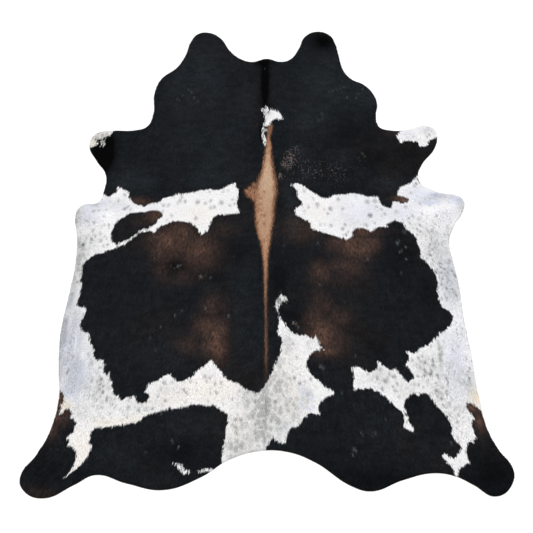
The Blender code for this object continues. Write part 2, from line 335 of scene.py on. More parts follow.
WHITE_RIGHT = [
    Stretch("past the right armpit", [(1000, 300), (695, 292)]),
    Stretch("shoulder band, right top", [
        (688, 290), (671, 270), (656, 253), (638, 248), (612, 235), (603, 227), (599, 214),
        (593, 209), (591, 200), (593, 185), (603, 185), (621, 184), (630, 179), (638, 168),
        (637, 157), (625, 150), (610, 148), (595, 153), (582, 159), (565, 161), (569, 148)]),
    Stretch("shoulder band, top to the spine", [
        (563, 139), (559, 127), (547, 127), (529, 133), (516, 142), (508, 157), (505, 172),
        (499, 184), (464, 182), (444, 185), (433, 193), (412, 198), (386, 198), (342, 194),
        (299, 193), (288, 182), (275, 176), (262, 174), (248, 179), (214, 203), (196, 214),
        (179, 229), (161, 242), (144, 251), (133, 254), (118, 248), (105, 245)]),
    Stretch("shoulder band, end at the spine", [
        (118, 238), (131, 227), (136, 214), (137, 192), (142, 172), (157, 163), (161, 150),
        (157, 139), (139, 131), (129, 124), (123, 111), (129, 100), (126, 91)]),
    Stretch("shoulder band, underside to the point", [
        (144, 83), (161, 72), (179, 59), (196, 48), (193, 33), (196, 24), (214, 17),
        (235, 11), (251, 5), (270, -6), (301, -11), (314, -19), (329, -24), (338, -24),
        (351, -34), (364, -24), (377, -17), (379, -6), (373, 4)]),
    Stretch("shoulder band, underside, scallops", [
        (383, 17), (399, 25), (416, 27), (433, 24), (447, 17), (462, 8), (471, 15), (486, 26),
        (503, 33), (525, 30), (533, 33), (535, 50), (553, 54), (560, 63), (571, 66), (586, 61),
        (603, 53), (613, 39), (616, 22), (625, 15)]),
    Stretch("flank, upper", [
        (643, 0), (660, -20), (662, -50), (669, -68), (674, -98), (669, -119), (691, -136),
        (706, -155), (719, -176), (730, -203), (735, -218), (734, -242), (730, -264),
        (733, -285), (732, -312), (738, -333), (745, -351), (765, -362), (778, -375)]),
    Stretch("flank, lower", [
        (783, -394), (778, -424), (763, -436), (745, -453), (730, -463), (720, -459),
        (717, -477), (704, -490), (692, -485), (686, -499), (678, -512), (660, -519),
        (641, -530), (631, -525), (625, -543), (608, -552), (597, -549), (586, -540),
        (577, -540), (584, -560), (584, -576), (577, -589)]),
    Stretch("thigh patch, notch", [
        (568, -602), (575, -610), (584, -620), (594, -628), (598, -643), (597, -659),
        (588, -662), (581, -671), (573, -674), (562, -667), (555, -652), (544, -639),
        (534, -626), (530, -610)]),
    Stretch("thigh patch, top", [
        (523, -619), (512, -624), (501, -620), (488, -610), (473, -598), (459, -585),
        (453, -584), (459, -600), (453, -615), (442, -624), (420, -630), (401, -626),
        (392, -617), (381, -608), (359, -607), (344, -610)]),
    Stretch("thigh patch, left end and underside", [
        (347, -617), (353, -632), (357, -654), (350, -671), (348, -689), (355, -706),
        (368, -701), (385, -700), (407, -698), (425, -697), (435, -705), (453, -713),
        (477, -732), (490, -746), (503, -759), (520, -776), (538, -790), (547, -802)]),
    Stretch("drip below the thigh patch", [
        (548, -820), (551, -837), (544, -850), (542, -860), (555, -863), (568, -868),
        (581, -873), (585, -857), (577, -850), (568, -841), (562, -831), (564, -820),
        (559, -807), (554, -794), (550, -776), (551, -761)]),
    Stretch("above the thigh's black", [
        (558, -746), (571, -737), (575, -723), (586, -719), (599, -722), (616, -724),
        (627, -717), (645, -717), (656, -726), (664, -741), (675, -754), (682, -770),
        (695, -785), (719, -809), (723, -824), (732, -841), (736, -859)]),
    Stretch("streak down the hind shank, inner side", [
        (732, -879), (736, -894), (743, -909), (754, -916), (762, -929), (765, -942),
        (758, -956), (749, -957), (741, -972), (728, -979), (714, -973), (706, -961),
        (693, -957), (684, -972), (695, -983), (706, -994), (719, -1005), (725, -1022),
        (732, -1042)]),
    Stretch("past the cut at the hind bay", [(737, -1075)]),
    Stretch("streak down the hind shank, outer side", [
        (742, -1044), (745, -1029), (749, -1018), (760, -1009), (771, -1001), (780, -996),
        (791, -1002), (793, -985), (786, -972), (781, -957), (784, -937), (793, -919),
        (804, -910), (813, -913), (819, -906), (830, -903), (823, -885), (819, -863)]),
    Stretch("outer side, up to the flank's cut", [
        (815, -841), (815, -828), (821, -822), (832, -826), (823, -813), (813, -798),
        (804, -785), (799, -772), (806, -758), (815, -758), (830, -763), (843, -776),
        (858, -789)]),
    Stretch("past the right flank", [(1000, -789)]),
]
WHITE_SMALL = [
    Stretch("blaze on the neck", [
        (-4, 673), (3, 664), (10, 655), (37, 652), (46, 646), (56, 642), (65, 633), (67, 621),
        (70, 612), (77, 601), (63, 600), (59, 593), (54, 598), (46, 603), (37, 603), (30, 597),
        (21, 590), (16, 581), (11, 571), (3, 566), (-6, 558), (-10, 551), (-10, 539),
        (-14, 529), (-16, 517), (-10, 506), (-6, 496), (-5, 482), (-11, 454), (-16, 470),
        (-22, 482), (-22, 491), (-21, 506), (-25, 520), (-23, 534), (-20, 546), (-16, 558),
        (-15, 572), (-11, 586), (-6, 600), (-13, 617), (-10, 628), (-15, 640), (-23, 648),
        (-29, 654), (-13, 659)]),
    Stretch("left front shank", [
        (-716, 537), (-723, 533), (-732, 523), (-738, 512), (-741, 505), (-754, 503),
        (-762, 499), (-765, 490), (-771, 486), (-782, 487), (-804, 488), (-808, 483),
        (-802, 475), (-793, 469), (-795, 455), (-804, 449), (-819, 440), (-826, 442),
        (-900, 440), (-900, 600), (-716, 600)]),
    Stretch("curl beside it", [
        (-775, 476), (-765, 477), (-759, 469), (-760, 455), (-769, 447), (-778, 449),
        (-769, 455), (-767, 466), (-778, 472)]),
    Stretch("right front shank", [
        (640, 537), (621, 534), (619, 519), (611, 510), (610, 499), (617, 486), (623, 473),
        (629, 469), (636, 475), (649, 480), (669, 479), (686, 474), (704, 474), (710, 466),
        (707, 453), (715, 448), (730, 449), (745, 453), (754, 462), (756, 477), (763, 486),
        (778, 490), (799, 501), (900, 505), (900, 620), (640, 620)]),
    Stretch("curl over the tail patch", [
        (56, -297), (68, -296), (80, -305), (87, -314), (84, -321), (72, -321), (62, -326),
        (54, -336), (48, -350), (43, -366), (38, -357), (34, -342), (37, -326), (46, -311)]),
    Stretch("tick at the left rump", [
        (-370, -996), (-352, -993), (-337, -998), (-331, -1010), (-322, -1022), (-302, -1023),
        (-294, -1028), (-304, -1033), (-326, -1037), (-338, -1023), (-348, -1009)]),
    Stretch("smaller tick beside it", [
        (-274, -1019), (-259, -1021), (-243, -1017), (-251, -1027), (-262, -1034),
        (-268, -1027)]),
    Stretch("thread between the tick and the cut", [
        (-250, -1018), (-232, -1016), (-215, -1014), (-215, -1026), (-234, -1026),
        (-252, -1027)]),
    Stretch("sliver along the cut", [
        (-222, -1025), (-209, -1017), (-192, -1007), (-174, -999), (-174, -1040), (-222, -1060)]),
]
BLACK_ISLAND = [
    Stretch("in the left shoulder band, lower right", [
        (-694, 4), (-690, 17), (-683, 30), (-677, 46), (-669, 61), (-658, 72), (-642, 79),
        (-629, 87), (-623, 98), (-608, 102), (-586, 105), (-564, 109), (-551, 105),
        (-536, 110), (-520, 115), (-507, 115), (-494, 112), (-481, 110), (-472, 102)]),
    Stretch("in the left shoulder band, upper left", [
        (-469, 91), (-472, 81), (-481, 72), (-490, 63), (-496, 48), (-507, 37), (-525, 27),
        (-542, 22), (-560, 17), (-571, 9), (-575, -4), (-592, -17), (-608, -28), (-625, -36),
        (-638, -43), (-653, -47), (-665, -54), (-671, -50), (-682, -44), (-688, -37),
        (-691, -20)]),
]

# The tan stripe on the spine: how far along, its left and right edges, and how
# pale its hair is there, from 0, nearly black, to 1, sand.
Spine = namedtuple("Spine", "along left right pale")
SPINE = [
    Spine(572, 9, 22, 0.30),
    Spine(555, 4, 24, 0.46),
    Spine(535, 4, 22, 0.46),
    Spine(500, 0, 14, 0.52),
    Spine(460, -3, 16, 0.74),
    Spine(400, -9, 19, 0.86),
    Spine(350, -18, 22, 0.93),
    Spine(300, -27, 29, 0.94),
    Spine(270, -36, 35, 0.95),
    Spine(240, -45, 38, 0.96),
    Spine(200, -57, 38, 0.88),
    Spine(150, -54, 31, 0.86),
    Spine(100, -53, 28, 0.82),
    Spine(50, -50, 25, 0.84),
    Spine(0, -40, 16, 0.82),
    Spine(-50, -27, 10, 0.79),
    Spine(-100, -18, 3, 0.77),
    Spine(-150, -15, 0, 0.69),
    Spine(-200, -12, -1, 0.62),
    Spine(-300, -10, -4, 0.58),
    Spine(-400, -8, -3, 0.40),
    Spine(-500, -8, -1, 0.41),
    Spine(-560, -8, 0, 0.37),
    Spine(-600, -8, 0, 0.26),
    Spine(-670, -8, -2, 0.10),
]

# Tufts of the tan beside it, at the withers: across, along and half their size.
CURLS = [
    (-92, 208, 9), (-80, 224, 7), (-76, 204, 11), (-84, 190, 8), (-66, 190, 12), (-64, 220, 10),
    (-60, 172, 9), (-58, 240, 7),
]

# Soft places, by what grows there.  A row gives the middle across and along and
# half the size across and along in mm, and how strongly it shows.
ZONES = {
    # black hair paler on the neck and withers: partly faded by the sun, partly a painted sheen where
    # the light falls brightest
    "faded": [
        (-350, 820, 160, 260, 1.00), (-240, 500, 240, 120, 0.60), (350, 800, 210, 200, 1.00),
        (220, 620, 140, 120, 0.90), (-100, -200, 60, 200, 0.50), (-90, -450, 60, 120, 0.60),
        (110, 50, 50, 60, 1.00), (-430, -560, 120, 80, 0.45), (-300, -850, 110, 60, 0.45),
        (450, -850, 80, 60, 0.40), (480, 730, 60, 60, 1.50), (-220, 380, 100, 80, 0.80),
        (150, 405, 46, 50, 1.40), (170, 300, 50, 40, 0.80), (60, 60, 30, 60, 0.60),
        (-640, 270, 90, 70, 1.00), (-570, 250, 70, 40, 1.00), (-600, -950, 70, 60, 0.60),
        (-250, 300, 130, 80, 0.90), (550, 250, 60, 30, 0.90), (100, 180, 40, 70, 1.10),
        (-110, 670, 60, 120, 0.60), (350, 395, 60, 50, 0.70), (-300, 250, 60, 40, 0.80),
    ],
    # the deepest black, and painted shade that darkens the black towards the right side and the rump
    "ink_and_shade": [
        (-10, 820, 20, 170, 1.80), (-16, 930, 34, 26, 1.60), (-20, 700, 26, 60, 0.60),
        (-30, 530, 11, 80, 0.90), (20, 460, 10, 60, 0.80), (-762, 420, 44, 104, 3.00),
        (282, 1062, 62, 62, 1.10), (-48, 470, 30, 70, 0.40), (700, -300, 50, 60, 0.35),
        (590, -750, 50, 50, 0.35), (225, -960, 70, 50, 0.35), (-400, -160, 50, 30, 0.80),
        (-230, -212, 60, 20, 0.40), (60, 100, 26, 180, 0.30), (-120, -90, 70, 70, 0.45),
        (50, -230, 44, 90, 0.60), (100, -390, 50, 50, 0.50), (600, -110, 80, 100, 0.40),
        (450, -520, 60, 50, 0.35), (400, 520, 130, 110, 0.40), (490, 390, 110, 60, 0.50),
        (880, -1040, 130, 100, 0.70), (400, -1060, 240, 60, 0.60), (-870, -1040, 100, 100, 0.40),
        (-350, -960, 130, 60, 0.45), (-740, -1050, 60, 40, 0.30), (660, 400, 110, 80, 0.40),
    ],
    # brown where the black hair is worn
    "brown": [
        (-415, -30, 96, 76, 0.98), (-442, -60, 64, 84, 0.82), (-300, -70, 80, 66, 0.84),
        (-300, -130, 70, 50, 0.62), (-210, 20, 90, 50, 0.25), (-450, -160, 48, 80, 0.32),
        (-370, -210, 70, 40, 0.30), (-232, -350, 50, 56, 0.46), (-256, -440, 54, 56, 0.68),
        (-206, -500, 34, 86, 1.34), (-235, -520, 50, 50, 0.58), (-316, -510, 60, 44, 0.40),
        (386, -66, 68, 66, 1.10), (452, -56, 44, 44, 0.90), (430, 10, 70, 40, 0.74),
        (318, -60, 58, 50, 0.62), (346, -160, 84, 60, 0.47), (234, -190, 46, 56, 0.62),
        (300, -230, 80, 40, 0.16), (150, 20, 100, 60, 0.39), (236, -330, 50, 70, 0.36),
        (200, -410, 40, 60, 0.74), (300, -396, 46, 46, 0.50), (228, -475, 60, 62, 1.24),
        (280, -500, 50, 50, 0.65), (245, -545, 60, 26, 0.84), (608, 168, 42, 18, 1.10),
        (600, 530, 50, 26, 0.28), (-590, 158, 66, 20, 0.56), (-500, 84, 50, 36, 0.74),
        (-560, 66, 60, 40, 0.20), (-842, -745, 30, 60, 1.12), (-832, -815, 40, 34, 0.74),
        (-860, -870, 30, 40, 0.56), (826, -785, 30, 24, 1.05), (852, -830, 26, 50, 0.84),
        (-880, -1110, 70, 30, 0.28),
    ],
    # where the tan stripe fades out softly into the black
    "fuzzy": [
        (34, 240, 26, 130, 1.00), (-44, 262, 20, 44, 1.00),
    ],
    # dark freckles in the tan stripe
    "freckled": [
        (-42, 150, 26, 110, 1.30), (-14, 60, 20, 80, 0.60), (34, 170, 12, 80, 0.50),
        (8, 540, 30, 40, 1.00), (-78, 205, 30, 34, 1.00),
    ],
    # rusty specks in the black
    "rust": [
        (104, 372, 32, 44, 0.90), (82, 350, 18, 16, 1.60), (130, 425, 26, 26, 0.45),
        (62, 287, 12, 18, 0.90), (210, 325, 110, 70, 0.20), (325, 310, 70, 60, 0.24),
        (430, 390, 60, 60, 0.10), (550, 270, 60, 30, 0.10), (-287, -212, 10, 8, 1.20),
        (620, 165, 14, 8, 0.80), (142, 102, 12, 12, 1.00), (118, -422, 14, 8, 0.80),
    ],
    # thin white hair with the black showing through
    "sparse": [
        (62, -320, 44, 36, 0.60), (42, -372, 14, 14, 1.50), (-16, 560, 16, 80, 0.80),
        (0, 640, 34, 34, 0.80), (-772, 465, 24, 24, 0.90), (50, -900, 40, 20, 0.80),
    ],
    # grey hair in the white, most of it above the tail, and painted shade in the creases, troughs
    # and turned-down edges of the flaps and flanks
    "grey_hair_and_shade": [
        (-16, -800, 80, 160, 1.12), (-110, -940, 70, 50, 1.10), (-100, -850, 60, 60, 0.55),
        (-60, -740, 50, 50, 1.00), (42, -690, 62, 90, 0.85), (44, -820, 46, 70, 1.00),
        (90, -780, 64, 66, 0.80), (45, -600, 34, 80, 0.60), (95, -600, 40, 50, 0.30),
        (86, -520, 36, 60, 0.50), (180, -510, 30, 26, 0.40), (162, -740, 34, 50, 0.60),
        (-500, -770, 90, 40, 0.40), (-420, -710, 80, 40, 0.30), (-660, -750, 80, 50, 0.50),
        (-760, -790, 50, 40, 0.50), (-700, -680, 80, 70, 0.56), (-830, -130, 40, 110, 1.80),
        (-728, -600, 14, 60, 0.80), (-800, -50, 60, 60, 0.45), (-850, 90, 24, 70, 1.30),
        (-700, 150, 50, 30, 0.35), (-40, -870, 50, 40, 1.30), (800, 165, 60, 16, 0.15),
        (390, 50, 40, 40, 0.26), (560, 100, 50, 40, 0.15), (655, 40, 40, 40, 0.26),
        (700, -95, 40, 30, 0.50), (705, -650, 40, 26, 0.75), (-785, 143, 40, 8, 0.90),
        (730, -10, 60, 36, 0.50), (740, -60, 60, 40, 0.45), (764, -110, 70, 60, 0.45),
        (786, -210, 40, 100, 0.45), (800, -295, 30, 36, 0.90), (820, -180, 16, 150, 0.50),
        (810, 0, 24, 40, 0.50), (872, 150, 24, 50, 0.40), (800, 190, 60, 14, 0.15),
        (718, -560, 10, 70, 1.30), (660, -610, 60, 60, 0.60), (700, -710, 50, 50, 0.60),
        (745, -500, 40, 40, 0.50), (750, -640, 50, 80, 0.50), (810, -670, 50, 60, 0.70),
        (560, -700, 50, 40, 0.40), (470, -650, 80, 50, 0.50), (750, -780, 60, 60, 0.50),
        (-790, 490, 70, 60, 1.30), (760, 530, 40, 26, 0.70), (670, 500, 40, 30, 0.30),
        (-4, 636, 20, 34, 1.00), (-14, 560, 14, 80, 1.00), (60, -330, 40, 40, 1.40),
    ],
    # painted shade on the rolls and folds of the flanks and elbow flaps, silvery white and smoother
    # than the grey
    "painted_silver_shade": [
        (-842, -320, 34, 90, 0.78), (-862, -465, 38, 100, 1.40), (-806, -460, 50, 120, 0.68),
        (-856, -590, 36, 90, 1.00), (-800, -580, 60, 80, 0.70), (-800, -680, 50, 60, 0.66),
        (-840, -230, 24, 60, 0.25), (-820, 100, 60, 44, 0.34), (-800, -50, 60, 60, 0.20),
        (752, -60, 60, 70, 0.35), (784, -190, 50, 130, 0.35), (802, 180, 60, 22, 0.42),
        (874, 150, 22, 50, 0.60),
    ],
    # painted highlights along the crests of the flank's rolls, which clear the painted grey and
    # silver shade there
    "bright": [
        (-795, -510, 6, 70, 0.90), (-762, -562, 14, 24, 0.90), (-742, -600, 8, 50, 0.60),
    ],
    # the parting of the hair above the tail
    "parting": [
        (-5, -765, 6, 66, 1.00), (-2, -700, 10, 36, 0.60), (-8, -850, 6, 50, 0.50),
        (-11, -905, 6, 30, 0.70),
    ],
    # lilac white: painted shade of the soft rolls on the flaps and flanks, and a lilac tint where
    # the hair is thin
    "lilac_tint_and_shade": [
        (764, 190, 60, 22, 1.00), (735, 150, 60, 18, 0.90), (690, 190, 70, 50, 0.60),
        (850, 165, 40, 30, 0.90), (800, 80, 60, 50, 0.25), (430, 100, 130, 80, 0.42),
        (590, 100, 110, 60, 0.42), (775, -590, 56, 150, 0.55), (800, -480, 50, 90, 0.30),
        (785, -240, 50, 120, 0.55), (820, -690, 40, 50, 0.50), (-745, 150, 44, 30, 0.55),
        (-800, 138, 50, 14, 0.90), (-805, 100, 70, 60, 0.50), (-660, 130, 90, 40, 0.26),
        (-520, 130, 60, 40, 0.20), (-820, -520, 50, 130, 0.60), (-780, -640, 60, 80, 0.80),
        (-800, -720, 50, 40, 0.70), (144, -712, 8, 26, 1.10), (168, -722, 12, 14, 1.20),
        (182, -741, 8, 10, 1.20), (140, -766, 8, 18, 0.90), (162, -781, 26, 6, 1.10),
        (184, -770, 7, 16, 0.90), (70, -860, 40, 30, 0.40), (650, 520, 40, 26, 0.40),
        (770, 540, 50, 20, 0.30),
    ],
    # cream at the ends of the white
    "cream": [
        (852, -735, 34, 40, 1.00), (-812, -770, 26, 26, 0.80), (-650, -838, 50, 16, 0.55),
        (-560, -830, 90, 20, 0.35), (-230, -710, 130, 50, 0.34), (60, -700, 100, 150, 0.22),
        (-100, -860, 90, 90, 0.24), (-380, -740, 100, 40, 0.25), (240, 110, 60, 60, 0.14),
        (-300, 90, 100, 50, 0.20), (-730, -960, 60, 100, 0.35), (-800, 480, 50, 60, 0.70),
    ],
    # small dark flecks lying along the hair, between the larger ones below
    "fleck": [
        (750, -110, 60, 170, 0.90), (690, -650, 90, 100, 0.40), (820, -420, 40, 120, 0.30),
        (-690, -690, 60, 110, 0.35), (-790, -60, 50, 120, 0.50), (-560, -790, 160, 40, 0.40),
        (-200, -690, 120, 60, 0.30), (70, -650, 60, 100, 0.50), (760, -850, 60, 120, 0.40),
    ],
}

# Round spots of dark skin that show through thin white hair: across, along,
# half the size in mm, and how dark each is; above 1 it turns black.
Spots = namedtuple("Spots", "place spots")
SKIN_SPOTS = [
    Spots("left elbow flap", [
        (-647, 191, 9, 0.72), (-671, 160, 7, 0.6), (-626, 131, 6, 0.72), (-642, 121, 9, 0.72),
        (-615, 117, 8, 0.48), (-722, 117, 7, 0.54), (-778, 104, 7, 0.72), (-757, 109, 7, 0.6),
        (-730, 80, 9, 0.48), (-772, 50, 8, 0.6), (-809, 56, 8, 0.42), (-795, 36, 4, 0.6),
        (-724, 40, 5, 0.54), (-705, 40, 6, 0.72), (-736, 31, 7, 0.42), (-703, 23, 6, 0.6),
        (-773, 13, 7, 0.72), (-740, -4, 9, 0.48), (-770, -6, 6, 0.6), (-760, -14, 4, 1.08),
        (-790, -11, 6, 0.42), (-721, -17, 6, 0.6), (-711, -27, 4, 0.72), (-776, -31, 7, 0.84),
        (-735, -37, 9, 0.6), (-703, -57, 7, 0.84), (-721, -64, 6, 0.6), (-750, -66, 6, 0.36),
        (-779, -50, 7, 0.48), (-809, -60, 5, 2.0)]),
    Spots("left shoulder band", [
        (-468, 139, 9, 0.55), (-446, 139, 8, 0.6), (-394, 161, 10, 0.6), (-387, 179, 9, 0.6),
        (-403, 150, 7, 0.5), (-371, 159, 9, 0.6), (-314, 154, 12, 0.65), (-279, 149, 9, 0.55),
        (-256, 163, 9, 0.6), (-254, 126, 10, 0.5), (-237, 130, 9, 0.6), (-207, 152, 13, 0.6),
        (-200, 206, 10, 0.45), (-263, 206, 8, 0.5), (-429, 87, 9, 0.5), (-319, 73, 9, 0.6),
        (-169, 137, 9, 0.5), (-149, 144, 7, 0.6), (-469, 110, 8, 0.5), (-449, 64, 7, 0.4),
        (-157, 167, 9, 0.4), (-177, 213, 9, 0.4)]),
    Spots("right shoulder band", [
        (169, 213, 11, 0.5), (208, 171, 7, 0.6), (227, 143, 10, 0.65), (225, 129, 6, 0.5),
        (187, 127, 7, 0.6), (169, 107, 10, 0.4), (257, 119, 7, 0.5), (285, 121, 11, 0.7),
        (273, 96, 7, 0.7), (339, 119, 8, 0.6), (322, 168, 9, 0.65), (387, 136, 6, 0.45),
        (404, 184, 7, 0.5), (452, 157, 13, 0.6), (487, 160, 12, 0.6), (491, 130, 8, 0.55),
        (461, 87, 12, 0.85), (237, 40, 8, 0.45), (257, 43, 7, 0.4), (284, 37, 9, 0.6),
        (347, 41, 8, 0.65), (336, 21, 9, 0.7), (360, 4, 6, 0.6), (349, -9, 7, 0.8),
        (336, -10, 6, 0.5), (441, 39, 12, 0.5), (479, 49, 7, 0.6), (514, 116, 8, 0.6),
        (529, 96, 8, 0.55), (514, 84, 8, 0.4), (580, 106, 10, 0.5), (625, 130, 9, 0.6)]),
    Spots("right elbow flap", [
        (652, 200, 7, 0.6), (672, 238, 10, 0.5), (636, 214, 7, 0.35), (646, 228, 6, 0.35),
        (678, 182, 6, 0.4), (715, 173, 5, 0.55), (690, 147, 7, 0.55), (732, 132, 7, 0.4),
        (669, 164, 7, 0.35), (651, 83, 8, 0.65), (694, 92, 5, 0.7), (716, 82, 6, 0.5),
        (757, 84, 7, 0.55), (634, 71, 8, 0.65), (676, 70, 7, 0.5), (688, 68, 5, 0.45),
        (606, 68, 5, 0.5), (636, 50, 6, 0.65), (681, 40, 6, 0.75), (712, 49, 5, 0.5),
        (739, 53, 5, 0.5), (751, 43, 7, 0.5), (769, 52, 5, 0.5), (666, 18, 6, 0.7),
        (681, 6, 8, 0.7), (693, 28, 5, 0.5), (732, 35, 6, 0.4), (711, 17, 8, 0.5),
        (735, 13, 7, 0.5), (666, -8, 6, 0.6), (786, -7, 7, 0.6), (801, 29, 7, 0.5),
        (819, 56, 6, 0.35), (690, 274, 5, 1.7), (697, 258, 4, 2.0), (680, 250, 4, 1.5)]),
    Spots("right flank", [
        (726, -28, 5, 0.8), (717, -57, 5, 0.8), (756, -55, 6, 0.5), (726, -79, 6, 0.7),
        (747, -84, 6, 0.4), (792, -81, 6, 0.4), (714, -107, 7, 0.8), (683, -115, 6, 0.6),
        (697, -124, 6, 0.6), (776, -100, 6, 0.4), (752, -147, 8, 0.8), (726, -140, 8, 0.5),
        (756, -166, 7, 0.9), (769, -175, 7, 0.8), (754, -190, 7, 0.9), (737, -174, 6, 0.8),
        (732, -188, 7, 0.9), (745, -215, 5, 0.8), (754, -220, 5, 0.8), (752, -245, 6, 0.8),
        (738, -257, 6, 0.7), (780, -220, 5, 0.7), (770, -266, 7, 0.8), (792, -269, 5, 0.9),
        (807, -298, 5, 1.0), (745, -309, 6, 0.7), (767, -311, 6, 0.7), (783, -361, 6, 0.4),
        (794, -145, 10, 0.5), (802, -186, 8, 0.7), (813, -206, 8, 0.8), (783, -234, 8, 0.4),
        (794, -425, 4, 0.9), (794, -450, 4, 0.9), (794, -471, 4, 0.9), (820, -445, 6, 0.6),
        (815, -470, 6, 0.6), (836, -488, 5, 0.6), (735, -499, 7, 0.4), (768, -540, 5, 0.7),
        (791, -524, 5, 0.6), (822, -573, 5, 0.7), (831, -615, 5, 0.9), (827, -628, 5, 0.8),
        (827, -657, 6, 1.0), (845, -584, 5, 0.7), (683, -522, 7, 0.5), (747, -611, 6, 0.4)]),
    Spots("right thigh", [
        (463, -619, 8, 0.6), (451, -659, 8, 0.65), (482, -667, 10, 0.8), (494, -654, 7, 0.6),
        (500, -638, 6, 0.8), (519, -650, 10, 0.7), (531, -681, 7, 0.7), (511, -692, 6, 0.65),
        (521, -709, 9, 0.65), (467, -702, 8, 0.7), (467, -640, 8, 0.4), (376, -681, 5, 0.4),
        (409, -640, 6, 0.4), (534, -736, 7, 0.5), (600, -584, 9, 0.6), (615, -600, 6, 0.6),
        (625, -571, 6, 0.8), (640, -567, 6, 0.7), (650, -592, 7, 0.8), (633, -588, 8, 0.6),
        (631, -611, 7, 0.6), (648, -623, 8, 0.9), (687, -576, 5, 0.8), (685, -589, 6, 1.0),
        (683, -603, 6, 1.0), (669, -640, 9, 1.1), (673, -625, 5, 0.8), (644, -646, 7, 0.9),
        (617, -650, 6, 0.8), (694, -644, 5, 0.9), (700, -654, 5, 0.9), (688, -679, 5, 0.9),
        (687, -711, 7, 1.1), (733, -660, 5, 1.0), (735, -672, 5, 1.0), (735, -684, 5, 1.0),
        (727, -714, 5, 0.8), (727, -725, 5, 0.8), (700, -715, 5, 0.6), (617, -684, 8, 0.6),
        (652, -677, 6, 0.6), (635, -696, 7, 0.55), (600, -682, 8, 0.5), (704, -742, 7, 0.8),
        (689, -731, 7, 0.6), (708, -769, 6, 0.8), (737, -762, 6, 0.6), (748, -746, 5, 0.4),
        (766, -808, 6, 0.6), (752, -787, 5, 0.5), (758, -837, 6, 0.6), (762, -912, 6, 0.5),
        (752, -898, 7, 0.4), (791, -889, 6, 0.4), (793, -781, 6, 0.5)]),
    Spots("left flank", [
        (-820, -235, 5, 1.0), (-835, -290, 8, 0.6), (-834, -315, 6, 0.4), (-812, -376, 6, 0.4),
        (-850, -406, 7, 0.5), (-818, -506, 6, 0.6), (-811, -530, 5, 0.5), (-817, -545, 5, 0.6),
        (-800, -568, 5, 0.8), (-823, -584, 5, 0.6), (-830, -601, 5, 0.6), (-815, -628, 5, 0.9),
        (-820, -638, 5, 0.9), (-741, -552, 6, 0.5), (-741, -564, 6, 0.5), (-688, -614, 7, 0.8),
        (-680, -661, 8, 1.0), (-683, -683, 6, 0.8), (-683, -704, 6, 1.0), (-668, -691, 5, 1.0),
        (-667, -715, 7, 1.0), (-692, -719, 6, 0.6), (-704, -728, 6, 0.6), (-719, -671, 5, 0.6),
        (-736, -697, 5, 0.4), (-649, -741, 6, 0.8), (-651, -752, 6, 0.8), (-643, -700, 7, 0.5),
        (-646, -668, 7, 0.5), (-632, -770, 5, 0.5), (-617, -742, 7, 0.5), (-742, -752, 5, 0.5),
        (-724, -745, 5, 0.5), (-743, -776, 5, 0.4), (-760, -769, 5, 0.3)]),
    Spots("rump band", [
        (-559, -778, 9, 0.55), (-559, -745, 8, 0.5), (-592, -785, 6, 0.5), (-611, -772, 8, 0.4),
        (-514, -787, 7, 0.6), (-490, -782, 9, 0.5), (-562, -802, 7, 0.4), (-634, -799, 8, 0.3),
        (-683, -785, 6, 0.5), (-665, -779, 7, 0.4), (-658, -818, 7, 0.45), (-626, -824, 6, 0.45),
        (-641, -835, 6, 0.4), (-691, -826, 7, 0.4), (-733, -797, 6, 0.3), (-421, -676, 10, 0.65),
        (-434, -703, 8, 0.5), (-443, -733, 7, 0.6), (-412, -751, 7, 0.75), (-461, -782, 7, 0.7),
        (-388, -674, 9, 0.4), (-424, -769, 8, 0.4), (-338, -704, 7, 0.7), (-328, -718, 8, 0.6),
        (-313, -670, 9, 0.5), (-256, -652, 12, 0.55), (-235, -655, 8, 0.6), (-247, -670, 6, 0.6),
        (-212, -682, 7, 0.7), (-187, -674, 7, 0.6), (-203, -719, 8, 0.6), (-190, -698, 5, 0.5),
        (-140, -743, 7, 0.65), (-157, -734, 5, 0.5), (-179, -743, 6, 0.4), (-115, -712, 8, 0.5),
        (-122, -769, 7, 0.4), (-178, -766, 7, 0.4), (-143, -784, 7, 0.4), (-290, -676, 7, 0.4),
        (-239, -752, 7, 0.45), (-329, -755, 8, 0.4)]),
    Spots("tail patch", [
        (-127, -826, 8, 0.8), (-140, -847, 8, 0.6), (-125, -857, 8, 0.7), (-106, -828, 8, 0.6),
        (-99, -850, 5, 0.6), (-123, -881, 9, 0.7), (-58, -812, 6, 0.7), (-48, -754, 6, 0.6),
        (-61, -744, 6, 0.5), (110, -658, 7, 0.8), (132, -680, 8, 0.8), (153, -672, 7, 0.55),
        (179, -661, 6, 0.9), (122, -569, 8, 0.5), (107, -509, 7, 0.6), (105, -816, 10, 0.5),
        (33, -754, 6, 0.7), (65, -727, 6, 0.6), (93, -581, 8, 0.4), (83, -543, 8, 0.35),
        (170, -507, 8, 0.35)]),
    Spots("right front shank", [
        (764, 506, 6, 0.8), (750, 497, 6, 0.8), (776, 528, 5, 0.6), (688, 498, 7, 0.5)]),
]

